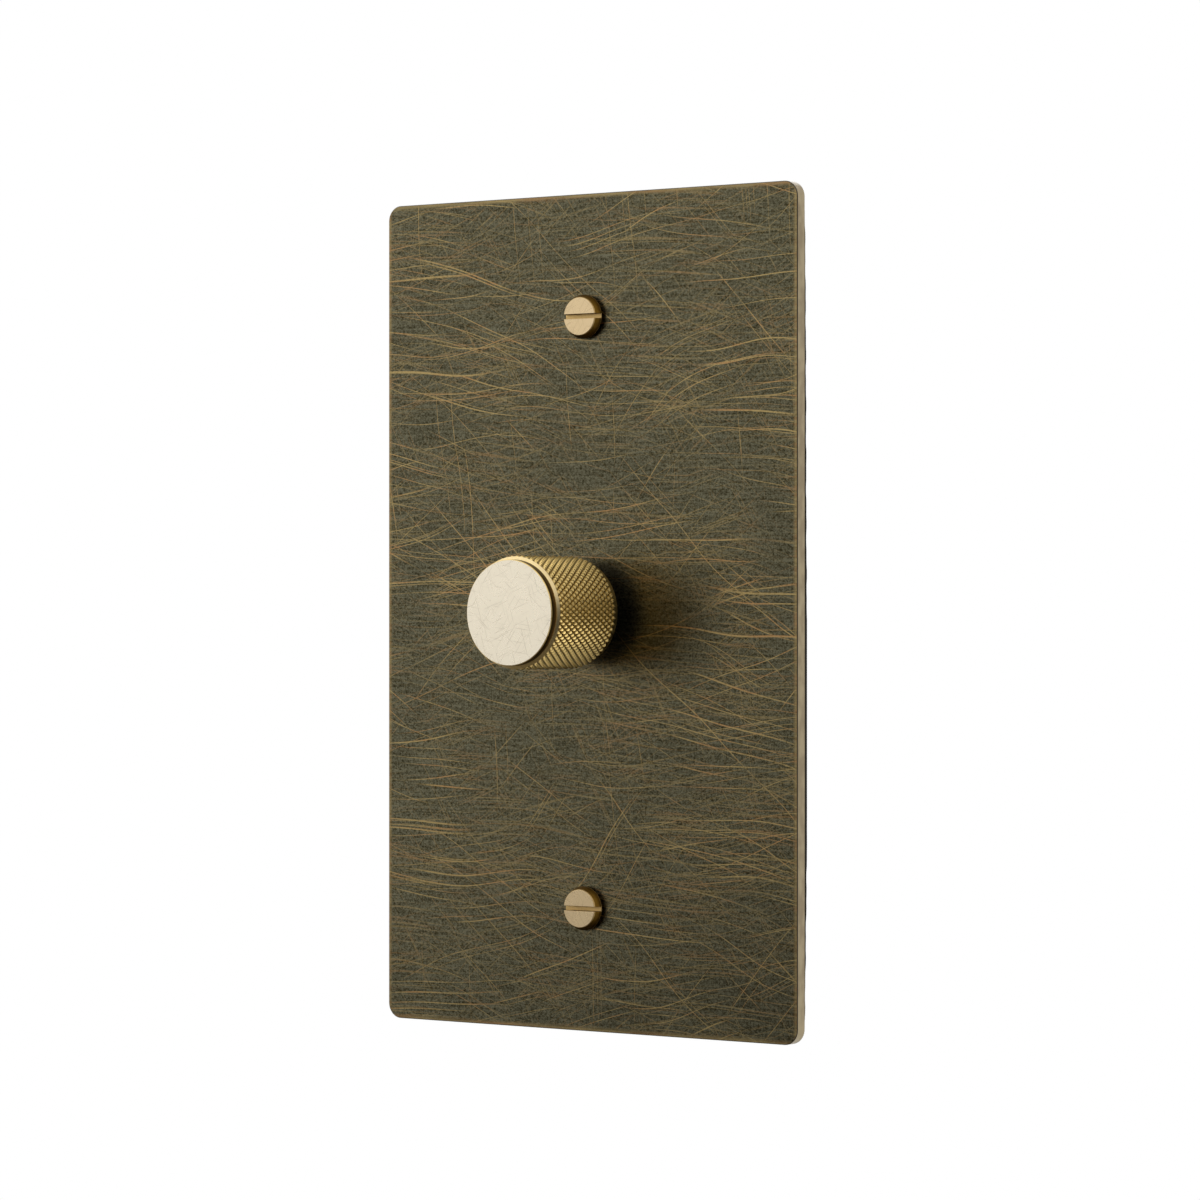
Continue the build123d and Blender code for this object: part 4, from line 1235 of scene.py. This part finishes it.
@dataclass
class PushSwitch:
    """Push switch behind the control, with its return spring."""

    wire_radius: float = 0.175
    turns: float = 5.0
    flat_share: float = 0.12
    steps_each_turn: int = 24

    def build(self) -> None:
        """Dress the switch and wind the spring."""
        dress(CONTROL_GREY, "switch_housing")
        dress(CONTROL_WHITE, "switch_plunger")
        dress(CONTACT_BRONZE, "moving_contact", "fixed_contacts")
        self.wind_spring()

    def wind_spring(self) -> None:
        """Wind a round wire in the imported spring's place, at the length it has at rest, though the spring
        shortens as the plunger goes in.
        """
        low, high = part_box("return_spring")
        wire = self.wire_radius * MM
        rise = high.y - low.y - 2 * wire
        steps = int(self.turns * self.steps_each_turn)
        depths = []
        for step in range(steps + 1):
            eased = (step / steps - self.flat_share) / (1.0 - 2 * self.flat_share)
            depths.append(low.y + wire + rise * min(1.0, max(0.0, eased)))
        coil = wound_wire(high.x - wire, wire, self.turns, depths)
        mesh = mesh_from(coil, "spring_coil", WIRE_CREASE)
        spring = add_piece("spring_coil", mesh, SILVER_STEEL, "switch_base")
        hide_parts("return_spring")
        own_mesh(spring)


@dataclass
class PowerBoard:
    """Circuit board with its power parts."""

    winding_wire: float = 0.25
    winding_turns: float = 7.0
    winding_pitch: float = 0.51
    winding_steps: int = 28
    core_waist: float = 0.7

    def build(self) -> None:
        """Dress the board and its parts, and wind the choke."""
        dress(BOARD_GREEN, "circuit_board")
        dress(SINK_ALUMINIUM, "heat_sink")
        dress(PACKAGE_BLACK, "power_transistors", "controller_chip")
        dress(FILM_YELLOW, "film_capacitor")
        dress(CAN_SLEEVE, "supply_capacitor")
        dress(FERRITE, "choke")
        self.wind_choke()

    def wind_choke(self) -> None:
        """Wind copper wire into the waist of the choke's core."""
        low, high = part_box("choke")
        middle = (low + high) / 2
        wire = self.winding_wire * MM
        radius = (high.x - low.x) / 2 - self.core_waist * MM + wire
        steps = int(self.winding_turns * self.winding_steps)
        rise = self.winding_pitch * MM * self.winding_turns
        depths = [middle.y - rise / 2 + rise * step / steps for step in range(steps + 1)]
        coil = wound_wire(radius, wire, self.winding_turns, depths)
        bmesh.ops.translate(coil, verts=coil.verts, vec=Vector((middle.x, 0.0, middle.z)))
        mesh = mesh_from(coil, "choke_winding", WIRE_CREASE)
        add_piece("choke_winding", mesh, COPPER_WIRE, "switch_base")


@dataclass(frozen=True)
class SoftLight:
    """A square soft light: where it hangs and the length of its side in metres, and its watts."""

    name: str
    place: tuple[float, float, float]
    size: float
    power: float


@dataclass
class Studio:
    """White studio with soft light from the left, and the camera. Its lengths are metres."""

    aim: Vector = field(default_factory=lambda: Vector((1.58, -1.86, 1.75)) * MM)
    camera_distance: float = 0.62565
    camera_azimuth: float = 35.9
    lens: float = 133.2
    sensor: float = 36.0
    floor_level: float = -0.5
    floor_half: float = 1.6
    white: Colour = (1.0, 1.0, 1.0, 1.0)
    fill_strength: float = 0.8
    seen_strength: float = 1.0
    lights: tuple[SoftLight, ...] = (
        SoftLight("key_light", (-0.85, -0.65, 0.6), 1.4, 1.8),
        SoftLight("side_light", (1.0, 0.25, 0.7), 0.7, 1.5),
        SoftLight("back_light", (-0.5, 0.9, 0.6), 0.8, 3.0),
    )
    flag_radius: float = 1.2
    flag_from: float = -60.0
    flag_full: float = 22.0
    flag_to: float = 68.0
    flag_low: float = -0.4
    flag_high: float = 0.32
    flag_steps: int = 24
    flag_colour: Colour = tint(26, 26, 26)
    mat_radius: float = 0.7
    mat_place: Vector = field(default_factory=lambda: Vector((-0.2, -0.5, -0.45)))
    mat_sides: int = 48
    mat_colour: Colour = tint(94, 86, 68)

    def build(self) -> None:
        """Set up the world, the lights, the floor and the camera."""
        scene = bpy.context.scene
        scene.view_settings.view_transform = "Standard"
        self.light_world(scene)
        for light in self.lights:
            self.add_light(scene, light)
        self.lay_floor(scene)
        self.hang_flag(scene)
        self.lay_mat(scene)
        self.place_camera(scene)

    def light_world(self, scene: bpy.types.Scene) -> None:
        """Surround the object with white, which lights it softly."""
        world = bpy.data.worlds.new("white_studio")
        world.use_nodes = True
        scene.world = world
        graph = Graph(world.node_tree)
        path = graph.add("ShaderNodeLightPath")
        seen: Level = 0.0
        for ray in ("Is Camera Ray", "Is Glossy Ray", "Is Transmission Ray"):
            seen = graph.math("MAXIMUM", seen, path.outputs[ray])
        both = graph.add("ShaderNodeMixShader")
        graph.feed(both.inputs[0], seen)
        for socket, strength in zip(both.inputs[1:], (self.fill_strength, self.seen_strength)):
            background = graph.add("ShaderNodeBackground")
            background.inputs["Color"].default_value = self.white
            background.inputs["Strength"].default_value = strength
            graph.feed(socket, background.outputs[0])
        output = graph.add("ShaderNodeOutputWorld")
        graph.feed(output.inputs["Surface"], both.outputs[0])

    def add_light(self, scene: bpy.types.Scene, light: SoftLight) -> None:
        """Hang a soft light that points at the plate.

        Args:
            scene: the scene that takes it.
            light: the light.
        """
        area = bpy.data.lights.new(light.name, "AREA")
        area.shape = "SQUARE"
        area.size = light.size
        area.energy = light.power
        lamp = bpy.data.objects.new(light.name, area)
        lamp.location = light.place
        lamp.rotation_euler = (self.aim - Vector(light.place)).to_track_quat("-Z", "Y").to_euler()
        scene.collection.objects.link(lamp)

    def lay_floor(self, scene: bpy.types.Scene) -> None:
        """Lay a plain pale floor well below the object."""
        half = self.floor_half
        mesh = bpy.data.meshes.new("studio_floor")
        corners = [(-half, -half, 0.0), (half, -half, 0.0), (half, half, 0.0), (-half, half, 0.0)]
        mesh.from_pydata(corners, [], [(0, 1, 2, 3)])
        floor = bpy.data.objects.new("studio_floor", mesh)
        floor.location.z = self.floor_level
        scene.collection.objects.link(floor)
        paint = Moulded("floor_white", tint(246, 246, 246), tint(243, 243, 243), 0.7, Grain.SATIN)
        mesh.materials.append(material_of(paint))

    def hang_flag(self, scene: bpy.types.Scene) -> None:
        """Hang a dark curved cloth behind the camera, which falls away to its left."""
        steps = self.flag_steps
        points = []
        for step in range(steps + 1):
            angle = self.flag_from + (self.flag_to - self.flag_from) * step / steps
            share = min(1.0, (angle - self.flag_from) / (self.flag_full - self.flag_from))
            top = self.flag_low + (self.flag_high - self.flag_low) * share
            turn = math.radians(angle)
            x, y = self.flag_radius * math.sin(turn), -self.flag_radius * math.cos(turn)
            points += [(x, y, self.floor_level), (x, y, top)]
        strips = [(2 * step, 2 * step + 1, 2 * step + 3, 2 * step + 2) for step in range(steps)]
        self.add_cloth(scene, "dark_flag", points, strips, self.flag_colour)

    def lay_mat(self, scene: bpy.types.Scene) -> None:
        """Lay a grey mat below and before the object, which darkens what the metal mirrors there."""
        sides = self.mat_sides
        turns = [2 * math.pi * side / sides for side in range(sides)]
        reaches = [self.mat_radius * Vector((math.cos(turn), math.sin(turn), 0.0)) for turn in turns]
        points = [tuple(self.mat_place + reach) for reach in reaches]
        self.add_cloth(scene, "grey_mat", points, [tuple(range(sides))], self.mat_colour)

    def add_cloth(
        self,
        scene: bpy.types.Scene,
        name: str,
        points: Sequence[tuple[float, float, float]],
        faces: Sequence[tuple[int, ...]],
        colour: Colour,
    ) -> None:
        """Add a cloth that only mirrored rays meet.

        Args:
            scene: the scene that takes it.
            name: the cloth's name.
            points: its corners, in metres.
            faces: its faces, as numbers of corners.
            colour: its colour.
        """
        mesh = bpy.data.meshes.new(name)
        mesh.from_pydata(points, [], faces)
        cloth = bpy.data.objects.new(name, mesh)
        scene.collection.objects.link(cloth)
        mesh.materials.append(material_of(Moulded(f"cloth_{name}", colour, colour, 0.9, Grain.SATIN)))
        cloth.visible_camera = False
        cloth.visible_diffuse = False
        cloth.visible_shadow = False

    def place_camera(self, scene: bpy.types.Scene) -> None:
        """Stand the camera level, to the right of the knob's axis."""
        turn = math.radians(self.camera_azimuth)
        camera = bpy.data.cameras.new("camera")
        camera.sensor_width = self.sensor
        camera.lens = self.lens
        stand = bpy.data.objects.new("camera", camera)
        away = Vector((math.sin(turn), -math.cos(turn), 0.0))
        stand.location = self.aim + self.camera_distance * away
        stand.rotation_euler = (math.radians(90.0), 0.0, turn)
        scene.collection.objects.link(stand)
        scene.camera = stand


def main() -> None:
    """Build each sub-assembly and the studio."""
    logging.basicConfig(level=logging.INFO, format="%(message)s")
    assemblies = (
        WallPlate(),
        FixingScrews(),
        Knob(),
        Strap(),
        ModuleCase(),
        Terminals(),
        RotaryControl(),
        PushSwitch(),
        PowerBoard(),
        Studio(),
    )
    for assembly in assemblies:
        assembly.build()


if __name__ == "__main__":
    main()
